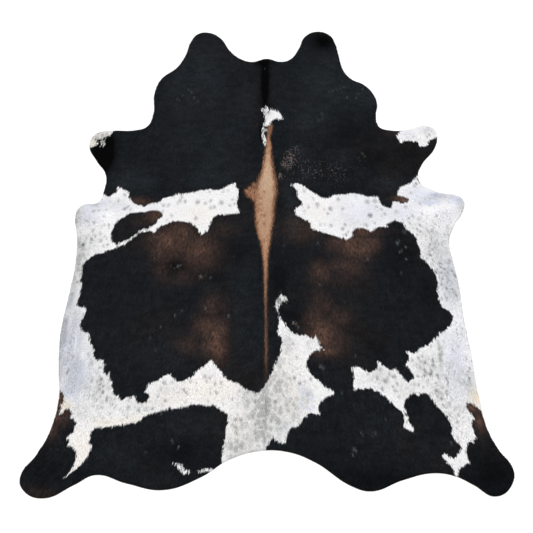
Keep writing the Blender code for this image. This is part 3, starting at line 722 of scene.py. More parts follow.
# Healed scratches and lone pale hairs in the black, given in the same way.
PALE_MARKS = [
    Spots("neck, left", [
        (-433, 713, 4.2, 0.42), (-421, 705, 4.2, 0.21), (-352, 722, 5.1, 0.26),
        (-365, 752, 6, 0.19), (-380, 768, 5.1, 0.17), (-330, 700, 6, 0.14),
        (-404, 735, 4.2, 0.17), (-9, 893, 3.5, 0.26)]),
    Spots("shoulder, right", [
        (300, 752, 5.1, 0.12), (318, 762, 5.1, 0.14), (336, 769, 5.1, 0.14),
        (354, 775, 5.1, 0.14), (372, 781, 5.1, 0.12), (390, 787, 5.1, 0.1), (386, 722, 6, 0.17),
        (428, 722, 6, 0.17), (440, 744, 5.1, 0.14), (462, 770, 6, 0.14), (244, 592, 6, 0.17),
        (262, 600, 5.1, 0.12), (260, 630, 6.8, 0.1), (443, 408, 5.1, 0.26), (452, 392, 4.2, 0.26),
        (425, 475, 4.2, 0.17)]),
    Spots("loin, left", [
        (-493, -125, 3.5, 0.34), (-148, -115, 4.2, 0.3), (-388, -160, 6, 0.42),
        (-376, -156, 4.2, 0.26), (-418, -160, 3.5, 0.26), (-402, -172, 3.5, 0.26),
        (-262, -356, 4.2, 0.51), (-163, -388, 4.2, 0.51), (-362, -366, 3.5, 0.3),
        (-390, -385, 5.1, 0.3), (-448, -435, 3.5, 0.51), (-345, -345, 3.5, 0.17),
        (-490, -482, 3.5, 0.26), (-466, -538, 4.2, 0.21), (-245, -214, 4.2, 0.3),
        (-268, -203, 3.5, 0.42)]),
    Spots("loin, right", [
        (575, -50, 7.6, 0.3), (583, -40, 4.2, 0.26), (610, -68, 4.2, 0.59), (590, -88, 3.5, 0.51),
        (580, -92, 3.5, 0.42), (609, -127, 3.5, 0.85), (580, -192, 4.2, 0.38),
        (438, -128, 6, 0.26), (225, -50, 5.1, 0.26), (225, -246, 4.2, 0.26),
        (330, -325, 3.5, 0.34), (365, -562, 4.2, 0.26), (220, -608, 6.8, 0.3),
        (231, -617, 5.1, 0.3), (112, -418, 5.1, 0.42), (130, -440, 4.2, 0.34),
        (58, -276, 5.1, 0.17), (610, 5, 7.6, 0.21), (75, -60, 5.1, 0.13)]),
    Spots("rump", [
        (-380, -908, 3.5, 0.34), (-373, -916, 3.5, 0.34), (-350, -935, 4.2, 0.68),
        (-480, -955, 5.1, 0.13), (-425, -803, 3.5, 0.3), (-305, -1072, 5.1, 0.26),
        (304, -720, 3.5, 0.68), (372, -878, 3.5, 0.42), (379, -887, 3.5, 0.34),
        (430, -880, 4.2, 0.26), (418, -887, 3.5, 0.26), (335, -965, 5.1, 0.34),
        (342, -945, 6.8, 0.3), (350, -952, 4.2, 0.3), (475, -827, 5.1, 0.13),
        (727, -917, 3.5, 0.51), (452, -605, 3.5, 0.26)]),
]
NET_STEP = 3 * MM              # the markings are worked out this far apart
NET_MARGIN = 4                 # steps of the net past the hide
SOFT_RIM = 0.45                # share of a spot's half size over which it fades


def white_depth(points):
    """How far each point lies inside the white hair; below 0 in the dark."""
    outlines = [knots(WHITE_LEFT), knots(WHITE_RIGHT)]
    outlines += [knots([small]) for small in WHITE_SMALL]
    deepest = np.full(len(points), -FARTHEST)
    for outline in outlines:
        low, high = outline.min(axis=0) - FARTHEST, outline.max(axis=0) + FARTHEST
        near = np.all((points > low) & (points < high), axis=1)
        deepest[near] = np.maximum(deepest[near], depth_inside(points[near], outline))
    return np.minimum(deepest, -depth_inside(points, knots(BLACK_ISLAND)))


def stripe_depth(points):
    """How far each point lies inside the tan stripe or the lobe beside it."""
    along, left, right, pale = np.array(SPINE[::-1]).T
    along, left, right = along * MM, left * MM, right * MM
    left_edge = np.interp(points[:, 1], along, left)
    right_edge = np.interp(points[:, 1], along, right)
    half = (right_edge - left_edge) / 2
    depth = half - abs(points[:, 0] - (left_edge + right_edge) / 2)
    depth -= np.maximum(0.0, points[:, 1] - along[-1]) + np.maximum(0.0, along[0] - points[:, 1])
    for lobe_across, lobe_along, half_size in CURLS:
        away = np.linalg.norm(points - np.array([lobe_across, lobe_along]) * MM, axis=1)
        depth = np.maximum(depth, half_size * MM - away)
    return depth, np.interp(points[:, 1], along, pale)


def spot_strength(points, places):
    """How strongly some small round spots show at each point."""
    total = np.zeros(len(points))
    for across, along, half_size, strength in [spot for place in places for spot in place.spots]:
        centre = np.array([across, along]) * MM
        reach = half_size * MM * (1 + SOFT_RIM)
        near = np.flatnonzero(abs(points - centre).max(axis=1) < reach)
        away = np.linalg.norm(points[near] - centre, axis=1) / (half_size * MM)
        shown = np.clip((1 + SOFT_RIM - away) / (2 * SOFT_RIM), 0.0, 1.0)
        total[near] = np.maximum(total[near], strength * shown)
    return total


def zone_strength(points, kind):
    """How strongly one kind of soft place shows at each point."""
    total = np.zeros(len(points))
    for middle_across, middle_along, half_across, half_along, strength in ZONES[kind]:
        across = (points[:, 0] / MM - middle_across) / half_across
        along = (points[:, 1] / MM - middle_along) / half_along
        total = np.maximum(total, strength * np.exp(-(across ** 2 + along ** 2)))
    return total


def work_out_markings(points):
    """Every marking's value at each point, by name.  Depths are in mm."""
    stripe, pale = stripe_depth(points)
    values = {"white": white_depth(points) / MM, "stripe": stripe / MM, "pale": pale}
    for kind in ZONES:
        values[kind] = zone_strength(points, kind)
    # Painted highlights on the roll crests take away the painted grey and silver shade.
    bright = values.pop("bright")
    values["grey_hair_and_shade"] *= 1 - bright
    values["painted_silver_shade"] *= 1 - bright
    values["spot"] = spot_strength(points, SKIN_SPOTS)
    values["mark"] = spot_strength(points, PALE_MARKS)
    return values


def ruled_points():
    """A square net of points that covers the hide and a little round it."""
    reach = abs(EDGE_RING).max(axis=0) + NET_MARGIN * NET_STEP
    across = np.arange(-reach[0], reach[0], NET_STEP)
    along = np.arange(-reach[1], reach[1], NET_STEP)
    points = np.stack(np.meshgrid(across, along), axis=-1)
    return points, (len(along), len(across))


NET, NET_SHAPE = ruled_points()
NET_VALUES = work_out_markings(NET.reshape(-1, 2))
NET_VALUES = {name: value.reshape(NET_SHAPE) for name, value in NET_VALUES.items()}


def markings(points):
    """The markings at each point, read between the points of the net."""
    steps = (points - NET[0, 0]) / NET_STEP
    corner = np.floor(steps).astype(int)
    share_across, share_along = (steps - corner).T
    column, row = corner.T

    def between(value):
        near = value[row, column] * (1 - share_across) + value[row, column + 1] * share_across
        far = value[row + 1, column] * (1 - share_across) + value[row + 1, column + 1] * share_across
        return near * (1 - share_along) + far * share_along

    return {name: between(value) for name, value in NET_VALUES.items()}


def write_values(mesh, values, copies=1):
    """Stores named values on a mesh's points, each repeated for a few points."""
    for name, value in values.items():
        vector = np.ndim(value) == 2
        attribute = mesh.attributes.new(name, "FLOAT_VECTOR" if vector else "FLOAT", "POINT")
        column = np.repeat(np.asarray(value, dtype=np.float32), copies, axis=0)
        attribute.data.foreach_set("vector" if vector else "value", column.ravel())


# ------------------------------------------------------------- the hair coat
# Short straight cow hair, 10 to 20 mm long, lying down towards the tail and a
# little outwards.  Each strand is glossy but fine, so the coat looks satin,
# with pale streaks along its lay.  Pigment: white, black, tan and brown.
LAY_SPREAD = 0.35              # outward turn of the lay for each metre off the spine
HAIR_WIDTH = 0.9               # mm: a strand's bundle, drawn as coarse as it shows
HAIR_RUN = 16.0                # mm along it
HAIR_RELIEF = 0.3 * MM
HAIR_IOR, HAIR_SHEEN = 1.55, 0.03  # keratin; fine strands scatter most of the shine
STRIPE_CLOUDS, STRIPE_LOCKS = 20.0, 8.0  # mm that clouds and locks move the stripe's edge
STRIPE_OUT, STRIPE_IN = -7, 5  # mm out of that edge and into it where the tan fades
FUZZY_OUT, FUZZY_IN = -14, 10  # mm more of it in a fuzzy place
WHITE_CLOUDS, WHITE_LOCKS = 24.0, 6.0  # mm that clouds and locks move the white's edge
SPARSE_RAGGED = 2.0            # how much more ragged it is where the white is thin
MIDDLE = 0.5                   # of clouds, and of a lock's draw
DOT_RIM, DOT_FADE = 0.6, 0.12  # where a strewn dot starts to fade, and how softly it comes
FRECKLES_STREWN, FLECKS_STREWN = 0.7, 0.6  # share of such dots that show at most
FRECKLE_MOST, FLECK_MOST, BLOOM_MOST = 0.62, 0.6, 0.92  # how strongly each shows at most
FINE_BLOOM, BUBBLE_SPREAD = 0.3, 0.3  # what fine clouds, and a dot's draw, add to a pattern
DARK_STREAKS, WHITE_STREAKS = 0.34, 0.010  # how much paler or darker a strand is
# The second black is paler and bluish: faded hair, and a painted sheen on the neck.
BLACK, BLACK_FADED_AND_SHEEN, BLACK_WARM, INK = "14171b", "212529", "1f1b1a", "020203"
BROWN, BROWN_DARK, RUST, MARK_GREY = "644b40", "2b2220", "a28474", "8d8e90"
STRIPE_FRINGE, SAND, ORANGE, COCOA, UMBER = "46332a", "c1a489", "a87d61", "755947", "332a27"
FRECKLE = "8f6147"
WHITE, WHITE_GREY_AND_SHADE, WHITE_SILVER_SHADE = "edeced", "b0b1af", "acafb5"
WHITE_LILAC_SHADE, WHITE_CREAM = "cfd3e4", "e8dcc8"
FLECK_GREY, PARTING_GREY = "86868a", "96979a"

# The steps that colour the hair.  Each makes a value from those above it, or
# from a marking, a number or a colour.  A pattern lies at one of three places:
# skin_at, true on the skin; grows_at, the same all over a lock; and strand,
# across and along each lock.  Its size is in mm, and tone is a lock's own draw.
# Clouds are soft and uneven.  Dots give how far off the nearest one's middle is,
# and its draw.  A level goes softly from its least to its most, a layer lays one
# colour over another by a share, and a shade makes a colour paler or darker.
Clouds = namedtuple("Clouds", "name place across along detail shift")
Dots = namedtuple("Dots", "name place across along shift")
Level = namedtuple("Level", "name of low high least most", defaults=(0.0, 1.0))
Sum = namedtuple("Sum", "name first operation second")
Layer = namedtuple("Layer", "name under over share")
Shade = namedtuple("Shade", "name colour brightness")
OPERATIONS = {"+": "ADD", "-": "SUBTRACT", "*": "MULTIPLY", "max": "MAXIMUM"}


def strewn(name, place, across, along, shift, thickly, radius):
    """The steps for small dots, as thickly strewn as a value says."""
    return [
        Dots(name, place, across, along, shift),
        Sum("shown", thickly, "-", name + "_draw"),
        Level("shown", "shown", 0.0, DOT_FADE),
        Level(name, name, radius * DOT_RIM, radius, 1.0, 0.0),
        Sum(name, "shown", "*", name),
    ]


HAIR_STEPS = [
    # black, paler on the neck with faded hair and a painted sheen, and warmer in broad clouds
    Clouds("patchy", "skin_at", 160, 260, 3, 0),
    Level("patchy", "patchy", 0.3, 0.7, 0.6, 1.2),
    Sum("patchy", "faded", "*", "patchy"),
    Clouds("warm", "skin_at", 240, 300, 2, 4),
    Level("warm", "warm", 0.4, 0.7, 0.0, 0.6),
    Layer("black", BLACK, BLACK_WARM, "warm"),
    Clouds("sunned", "grows_at", 20, 70, 3, 7),
    Level("sunned", "sunned", 0.3, 0.7, 0.0, 0.3),
    Layer("black", "black", BLACK_FADED_AND_SHEEN, "sunned"),
    Layer("black", "black", BLACK_FADED_AND_SHEEN, "patchy"),
    Clouds("waves", "skin_at", 50, 26, 3, 33),
    Level("waves", "waves", 0.3, 0.7, 0.7, 1.3),
    Clouds("mottled", "grows_at", 9, 14, 4, 31),
    Sum("mottled", "mottled", "*", "waves"),
    Level("mottled", "mottled", 0.25, 0.75, 0.78, 1.26),
    Shade("black", "black", "mottled"),

    # brown bloom in soft clouds, and the deepest black with its painted shade towards the rump
    Clouds("fine_bloom", "grows_at", 14, 16, 3, 1),
    Sum("fine_bloom", "fine_bloom", "*", FINE_BLOOM),
    Clouds("bloom", "skin_at", 55, 65, 4, 3),
    Sum("bloom", "bloom", "+", "fine_bloom"),
    Level("bloom", "bloom", 0.45, 0.85, 0.6, 1.2),
    Sum("bloom", "brown", "*", "bloom"),
    Sum("bloom", "bloom", "*", BLOOM_MOST),
    Clouds("browner", "grows_at", 11, 13, 4, 11),
    Level("browner", "browner", 0.3, 0.7, 0.2, 1.1),
    Layer("brown_hair", BROWN_DARK, BROWN, "browner"),
    Layer("dark", "black", "brown_hair", "bloom"),
    Layer("dark", "dark", INK, "ink_and_shade"),

    # the tan stripe, sandy in the middle and dark along its fuzzy rims
    Clouds("fuzz", "grows_at", 5, 16, 3, 5),
    Sum("fuzz", "fuzz", "-", MIDDLE),
    Sum("fuzz", "fuzz", "*", STRIPE_CLOUDS),
    Sum("stray", "tone", "-", MIDDLE),
    Sum("stray", "stray", "*", STRIPE_LOCKS),
    Sum("fuzz", "fuzz", "+", "stray"),
    Level("width", "pale", 0.74, 0.9, 0.4, 1.0),
    Sum("fuzz", "fuzz", "*", "width"),
    Sum("stripe", "stripe", "+", "fuzz"),
    Level("rim", "stripe", -6, 17, 0.5, 0.0),
    Sum("rim", "rim", "*", "width"),
    Sum("paleness", "pale", "-", "rim"),
    Level("cocoa", "paleness", 0.0, 0.35),
    Level("orange", "paleness", 0.3, 0.65),
    Level("sand", "paleness", 0.62, 1.0),
    Layer("tan", UMBER, COCOA, "cocoa"),
    Layer("tan", "tan", ORANGE, "orange"),
    Layer("tan", "tan", SAND, "sand"),

    # its freckles and its soft fringe
    Sum("thickly_freckled", "freckled", "*", FRECKLES_STREWN),
    *strewn("freckles", "skin_at", 15, 17, 9, "thickly_freckled", 0.7),
    Sum("freckles", "freckles", "*", FRECKLE_MOST),
    Clouds("smudge", "grows_at", 9, 12, 3, 37),
    Level("smudge", "smudge", 0.4, 0.65, 0.0, 0.55),
    Sum("smudge", "smudge", "*", "freckled"),
    Sum("freckles", "freckles", "max", "smudge"),
    Layer("tan", "tan", FRECKLE, "freckles"),
    Level("fringe", "stripe", -14, 2),
    Level("fringe_shown", "pale", 0.4, 0.9, 0.25, 1.0),
    Sum("fringe", "fringe", "*", "fringe_shown"),
    Layer("dark", "dark", STRIPE_FRINGE, "fringe"),
    Sum("outer", "fuzzy", "*", FUZZY_OUT),
    Sum("outer", "outer", "+", STRIPE_OUT),
    Sum("inner", "fuzzy", "*", FUZZY_IN),
    Sum("inner", "inner", "+", STRIPE_IN),
    Level("on_stripe", "stripe", "outer", "inner"),
    Layer("dark", "dark", "tan", "on_stripe"),

    # rusty specks, healed scratches and lone pale hairs
    *strewn("specks", "skin_at", 5, 5.5, 0, "rust", 0.5),
    Level("specks_shown", "rust", 0.05, 0.6, 0.55, 1.0),
    Sum("specks", "specks", "*", "specks_shown"),
    Level("locks_shown", "tone", 0.0, 1.0, 0.1, 0.9),
    Sum("specks", "specks", "*", "locks_shown"),
    Clouds("greyer", "skin_at", 14, 16, 2, 35),
    Level("greyer", "greyer", 0.45, 0.6),
    Layer("rusty", RUST, MARK_GREY, "greyer"),
    Layer("dark", "dark", "rusty", "specks"),
    Clouds("marks", "skin_at", 3, 5, 2, 23),
    Level("marks", "marks", 0.4, 0.6, 0.1, 1.3),
    Sum("marks", "mark", "*", "marks"),
    Layer("dark", "dark", MARK_GREY, "marks"),

    # white, with painted lilac shade, cream, a blotchy grey, painted silver shade, and the parting
    # of the tail
    Layer("white_hair", WHITE, WHITE_LILAC_SHADE, "lilac_tint_and_shade"),
    Layer("white_hair", "white_hair", WHITE_CREAM, "cream"),
    Dots("bubble", "skin_at", 22, 28, 1),
    Sum("bubble_draw", "bubble_draw", "*", BUBBLE_SPREAD),
    Sum("bubble", "bubble", "+", "bubble_draw"),
    Level("blotch", "bubble", 0.35, 0.75, 1.15, 0.5),
    Clouds("streaky", "grows_at", 8, 40, 3, 13),
    Level("streaky", "streaky", 0.3, 0.7, 0.75, 1.1),
    Sum("blotch", "blotch", "*", "streaky"),
    # the grey is partly grey hair, partly painted shade in creases and troughs
    Sum("blotch", "grey_hair_and_shade", "*", "blotch"),
    Layer("white_hair", "white_hair", WHITE_GREY_AND_SHADE, "blotch"),
    # painted silver shade on the rolls and folds, uneven along the lay
    Clouds("silver_shade_share", "grows_at", 14, 80, 3, 41),
    Level("silver_shade_share", "silver_shade_share", 0.3, 0.7, 0.7, 1.2),
    Sum("silver_shade_share", "painted_silver_shade", "*", "silver_shade_share"),
    Layer("white_hair", "white_hair", WHITE_SILVER_SHADE, "silver_shade_share"),
    Layer("white_hair", "white_hair", PARTING_GREY, "parting"),

    # dark flecks in it, and dark skin showing through
    Sum("thickly_flecked", "fleck", "*", FLECKS_STREWN),
    *strewn("flecks", "grows_at", 9, 14, 5, "thickly_flecked", 0.4),
    Sum("flecks", "flecks", "*", FLECK_MOST),
    Layer("white_hair", "white_hair", FLECK_GREY, "flecks"),
    Level("grey_spot", "spot", 0.0, 1.1),
    Layer("white_hair", "white_hair", FLECK_GREY, "grey_spot"),
    Level("black_spot", "spot", 1.1, 1.6),
    Layer("white_hair", "white_hair", INK, "black_spot"),

    # white over dark, with a ragged edge
    Sum("ragged", "sparse", "*", SPARSE_RAGGED),
    Sum("ragged", "ragged", "+", 1.0),
    Clouds("rag", "grows_at", 6, 16, 3, 17),
    Sum("rag", "rag", "-", MIDDLE),
    Sum("rag", "rag", "*", WHITE_CLOUDS),
    Sum("lock_rag", "tone", "-", MIDDLE),
    Sum("lock_rag", "lock_rag", "*", WHITE_LOCKS),
    Sum("rag", "rag", "+", "lock_rag"),
    Sum("rag", "rag", "*", "ragged"),
    Sum("edge", "white", "+", "rag"),
    Level("whiteness", "edge", -1.5, 1.5),
    Layer("coat", "dark", "white_hair", "whiteness"),

    # strands: paler and darker streaks, a little gloss, and relief
    Clouds("hairs", "strand", HAIR_WIDTH, HAIR_RUN, 3, 0),
    Level("streak", "hairs", 0.3, 0.7, -0.6, 0.6),
    Level("lock_streak", "tone", 0.0, 1.0, -0.7, 0.7),
    Sum("streak", "streak", "+", "lock_streak"),
    Level("depth", "whiteness", 0.0, 1.0, DARK_STREAKS, WHITE_STREAKS),
    Level("less_on_tan", "on_stripe", 0.0, 1.0, 1.0, 0.4),
    Sum("depth", "depth", "*", "less_on_tan"),
    Sum("streak", "streak", "*", "depth"),
    Sum("streak", "streak", "+", 1.0),
    Shade("coat", "coat", "streak"),
    Level("roughness", "hairs", 0.2, 0.8, 0.62, 0.46),
    Level("relief", "whiteness", 0.0, 1.0, 0.5, 0.2),
]
MIX_SHARE, MIX_UNDER, MIX_OVER, MIX_COLOUR = 0, 6, 7, 2  # the mixing node's sockets for colours


def linear(hex_colour):
    """An sRGB hex colour as linear red, green, blue and alpha."""
    channels = [int(hex_colour[place:place + 2], 16) / 255 for place in (0, 2, 4)]
    return [c / 12.92 if c <= 0.04045 else ((c + 0.055) / 1.055) ** 2.4 for c in channels] + [1.0]


def fill(node, inputs):
    """Fills or links a node's inputs.  A colour is given as sRGB hex."""
    for socket, value in inputs.items():
        if isinstance(value, bpy.types.NodeSocket):
            node.id_data.links.new(value, node.inputs[socket])
        else:
            node.inputs[socket].default_value = linear(value) if isinstance(value, str) else value


def add_node(tree, kind, inputs, output=0, **settings):
    """Adds a node with its settings and inputs, and gives one of its outputs."""
    node = tree.nodes.new("ShaderNode" + kind)
    for name, value in settings.items():
        setattr(node, name, value)
    fill(node, inputs)
    return node.outputs[output]


def new_material(name):
    """A material with only a Principled shader, and its tree and shader."""
    material = bpy.data.materials.new(name)
    material.use_nodes = True
    return material, material.node_tree, material.node_tree.nodes["Principled BSDF"]


def cow_hair():
    material, tree, shader = new_material("cow_hair")
    at = {}
    for name in ("skin_at", "grows_at", "strand"):
        at[name] = add_node(tree, "Attribute", {}, "Vector", attribute_name=name)
    for name in [*NET_VALUES, "tone"]:
        at[name] = add_node(tree, "Attribute", {}, "Fac", attribute_name=name)
    for step in HAIR_STEPS:
        name, *values = step
        step = type(step)(name, *[at.get(value, value) for value in values])
        if isinstance(step, (Clouds, Dots)):
            size = (1 / step.across, 1 / step.along, 1.0)
            sized = {"Vector": step.place, "Scale": size, "Location": (step.shift,) * 3}
            pattern = {"Vector": add_node(tree, "Mapping", sized), "Scale": 1.0}
        if isinstance(step, Clouds):
            made = add_node(tree, "TexNoise", {**pattern, "Detail": step.detail}, "Fac")
        elif isinstance(step, Dots):
            made = add_node(tree, "TexVoronoi", pattern, "Distance", voronoi_dimensions="2D")
            drawn = {"Color": made.node.outputs["Color"]}
            at[name + "_draw"] = add_node(tree, "SeparateColor", drawn)
        elif isinstance(step, Level):
            levels = {"Value": step.of, "From Min": step.low, "From Max": step.high}
            levels.update({"To Min": step.least, "To Max": step.most})
            made = add_node(tree, "MapRange", levels, interpolation_type="SMOOTHSTEP")
        elif isinstance(step, Sum):
            numbers = {0: step.first, 1: step.second}
            made = add_node(tree, "Math", numbers, operation=OPERATIONS[step.operation])
        elif isinstance(step, Layer):
            colours = {MIX_SHARE: step.share, MIX_UNDER: step.under, MIX_OVER: step.over}
            made = add_node(tree, "Mix", colours, MIX_COLOUR, data_type="RGBA")
        elif isinstance(step, Shade):
            shaded = {"Color": step.colour, "Value": step.brightness}
            made = add_node(tree, "HueSaturation", shaded)
        at[name] = made
    relief = {"Height": at["hairs"], "Strength": at["relief"], "Distance": HAIR_RELIEF}
    fill(shader, {
        "Base Color": at["coat"], "Roughness": at["roughness"], "IOR": HAIR_IOR,
        "Specular IOR Level": HAIR_SHEEN, "Normal": add_node(tree, "Bump", relief),
    })
    return material


hair_material = cow_hair()


def lay(points):
    """The way the hair lies at each point, as unit vectors."""
    way = np.column_stack([points[:, 0] * LAY_SPREAD, -np.ones(len(points))])
    return way / np.linalg.norm(way, axis=1)[:, None]


def lay_place(points):
    """Across and along the lay in mm, so that a streak follows the hair."""
    across = points[:, 0] * np.exp(points[:, 1] * LAY_SPREAD)
    return np.column_stack([across, points[:, 1], np.zeros(len(points))]) / MM


# ------------------------------------------- the sides that carry no hair
# The flesh side is brushed to a dry, pale suede nap with a few darker fibres.
# The cut edge shows the skin through its thickness, with hair lying over it.
SUEDE_PALE, SUEDE_DARK, CUT_PALE, CUT_DARK = "c8b79f", "a3917a", "a89886", "5b4f45"
SUEDE_ROUGHNESS, SUEDE_SHEEN, CUT_ROUGHNESS = 0.92, 0.2, 0.8
NAP = 1.2 * MM                 # a tuft of the nap
NAP_DETAIL, NAP_RELIEF, NAP_STRENGTH = 4.0, 0.4 * MM, 0.6
PATCHY = 140 * MM              # drum-tanned skin is uneven over about this
PATCHY_DETAIL = 3.0
SUEDE_LOW, SUEDE_HIGH = 0.7, 1.3  # of both patterns' sum: its darkest and its palest
GRAIN_DETAIL, GRAIN_RELIEF, GRAIN_STRENGTH = 3.0, 0.3 * MM, 0.5
SHEET_TONE = 0.4               # the skin's own hair has this in place of a lock's draw
SUEDE_SLOT, CUT_SLOT = 1, 2    # the order of the sheet's materials, after the hair


def brushed_suede():
    material, tree, shader = new_material("brushed_suede")
    place = add_node(tree, "TexCoord", {}, "Object")
    tufts = {"Vector": place, "Scale": 1 / NAP, "Detail": NAP_DETAIL}
    patches = {"Vector": place, "Scale": 1 / PATCHY, "Detail": PATCHY_DETAIL}
    nap = add_node(tree, "TexNoise", tufts, "Fac")
    both = add_node(tree, "Math", {0: nap, 1: add_node(tree, "TexNoise", patches, "Fac")})
    levels = {"Value": both, "From Min": SUEDE_LOW, "From Max": SUEDE_HIGH}
    share = add_node(tree, "MapRange", levels)
    colours = {MIX_SHARE: share, MIX_UNDER: SUEDE_DARK, MIX_OVER: SUEDE_PALE}
    relief = {"Height": nap, "Strength": NAP_STRENGTH, "Distance": NAP_RELIEF}
    fill(shader, {
        "Base Color": add_node(tree, "Mix", colours, MIX_COLOUR, data_type="RGBA"),
        "Normal": add_node(tree, "Bump", relief),
        "Roughness": SUEDE_ROUGHNESS, "Specular IOR Level": SUEDE_SHEEN,
    })
    return material


def cut_leather():
    material, tree, shader = new_material("cut_leather")
    place = add_node(tree, "TexCoord", {}, "Object")
    fibres = {"Vector": place, "Scale": 1 / NAP, "Detail": GRAIN_DETAIL}
    grain = add_node(tree, "TexNoise", fibres, "Fac")
    colours = {MIX_SHARE: grain, MIX_UNDER: CUT_DARK, MIX_OVER: CUT_PALE}
    relief = {"Height": grain, "Strength": GRAIN_STRENGTH, "Distance": GRAIN_RELIEF}
    fill(shader, {
        "Base Color": add_node(tree, "Mix", colours, MIX_COLOUR, data_type="RGBA"),
        "Normal": add_node(tree, "Bump", relief), "Roughness": CUT_ROUGHNESS,
    })
    return material


def hide_sheet():
    """The skin as one closed sheet: hair, suede and cut edge in three slots."""
    write_values(skin_surface, markings(skin_places))
    flat = np.column_stack([skin_places / MM, np.zeros(len(skin_places))])
    combed = lay_place(skin_places)
    write_values(skin_surface, {"grows_at": combed, "skin_at": flat, "strand": combed})
    write_values(skin_surface, {"tone": np.full(len(skin_places), SHEET_TONE)})
    sheet = bpy.data.objects.new("hide_sheet", skin_surface)
    bpy.context.scene.collection.objects.link(sheet)
    for material in (hair_material, brushed_suede(), cut_leather()):
        skin_surface.materials.append(material)
    full = sheet.vertex_groups.new(name="coat_depth")
    for index, share in enumerate(np.clip(skin_inset / EDGE_BAND, 0.0, 1.0)):
        full.add([index], float(share), "REPLACE")
    thicken = sheet.modifiers.new("leather_and_coat", "SOLIDIFY")
    thicken.thickness = THICKNESS
    thicken.offset = 1.0
    thicken.vertex_group = full.name
    thicken.thickness_vertex_group = EDGE_SHARE
    thicken.material_offset = SUEDE_SLOT
    thicken.material_offset_rim = CUT_SLOT
    skin_surface.shade_smooth()
    return sheet


sheet = hide_sheet()
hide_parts("hide")
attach(sheet, "root")

# ------------------------------------------------------------- the hair locks
# The coat's own strands, gathered as they lie into small pointed locks.  Each
# is a closed four-sided splinter that starts in the skin, swells to a ridge
# and tapers to its tip, over the roots of those below it.
LOCK_GAP = 4.2 * MM            # from root to root
ROOT_JITTER = 0.38             # share of the gap that a root strays either way
LOCK_LENGTH = 19 * MM
LOCK_WIDTH = 4.6 * MM
NARROWEST, WIDTH_RANGE = 0.7, 0.6  # a lock's own width, as shares of that
LENGTH_SPREAD = 0.22           # locks vary by this share of their length
HEADING_SPREAD = math.radians(7)
SWIRL = math.radians(11)       # how far neighbouring locks turn together
SWIRL_SIZE = 60 * MM
ROOT_SINK = 0.3 * MM
RIDGE_PLACE = 0.34             # share of the length
RIDGE_RISE = 0.75 * MM
TIP_RISE = 0.55 * MM
RISE_SPREAD = 0.45
SEEN_SHARE = 0.62              # the part of a lock that shows, from its root
OVERHANG = 1.5 * MM            # hair past the cut edge
# Shares of its length, tried in turn where a lock hangs over; at 0 it isn't made.
SHORTENED = (0.8, 0.6, 0.4, 0.25, 0.0)
STRAND_SHIFT = 1000            # mm between the strands' patterns of two locks, at most
ROOT_SEED, SWIRL_SEED, LOCK_SEED = 20, 5, 21
LOCK_POINTS = 4
# Its corners are the two at the root, the tip and the ridge.
LOCK_FACES = [(0, 3, 2), (1, 2, 3), (0, 1, 3), (0, 2, 1)]
COAT_PIECES = ["coat_rump", "coat_loin", "coat_back", "coat_shoulders", "coat_neck"]


def coat_locks():
    """Where each lock grows, which way it lies, how long it is, and its own draw."""
    draw = np.random.default_rng(LOCK_SEED)
    roots = spaced_points(LOCK_GAP, ROOT_JITTER, ROOT_SEED)
    inset = depth_inside(roots, EDGE_RING)
    roots, inset = roots[inset > 0], inset[inset > 0]
    count = len(roots)
    turn = SWIRL * wander(roots, SWIRL_SIZE, SWIRL_SEED) + draw.normal(0, HEADING_SPREAD, count)
    across, along = lay(roots).T
    cosine, sine = np.cos(turn), np.sin(turn)
    way = np.column_stack([across * cosine - along * sine, across * sine + along * cosine])
    length = LOCK_LENGTH * (1 + LENGTH_SPREAD * draw.uniform(-1, 1, count))
    edge_locks = np.flatnonzero(inset < length + OVERHANG)
    share = np.ones(count)
    for step in SHORTENED:
        tips = roots[edge_locks] + way[edge_locks] * (length * share)[edge_locks, None]
        edge_locks = edge_locks[depth_inside(tips, EDGE_RING) < -OVERHANG]
        share[edge_locks] = step
    kept = share > 0
    draws = draw.uniform(0, 1, (count, 3))
    return roots[kept], way[kept], (length * share)[kept], draws[kept]


def map_from_above(mesh, flat):
    """A map of a coat piece as seen from above, for baking its colours."""
    low, high = flat.min(axis=0), flat.max(axis=0)
    corners = np.empty(len(mesh.loops), dtype=np.int32)
    mesh.loops.foreach_get("vertex_index", corners)
    spread = ((flat - low) / (high - low))[corners]
    layer = mesh.uv_layers.new(name="OFBake")
    layer.uv.foreach_set("vector", spread.astype(np.float32).ravel())


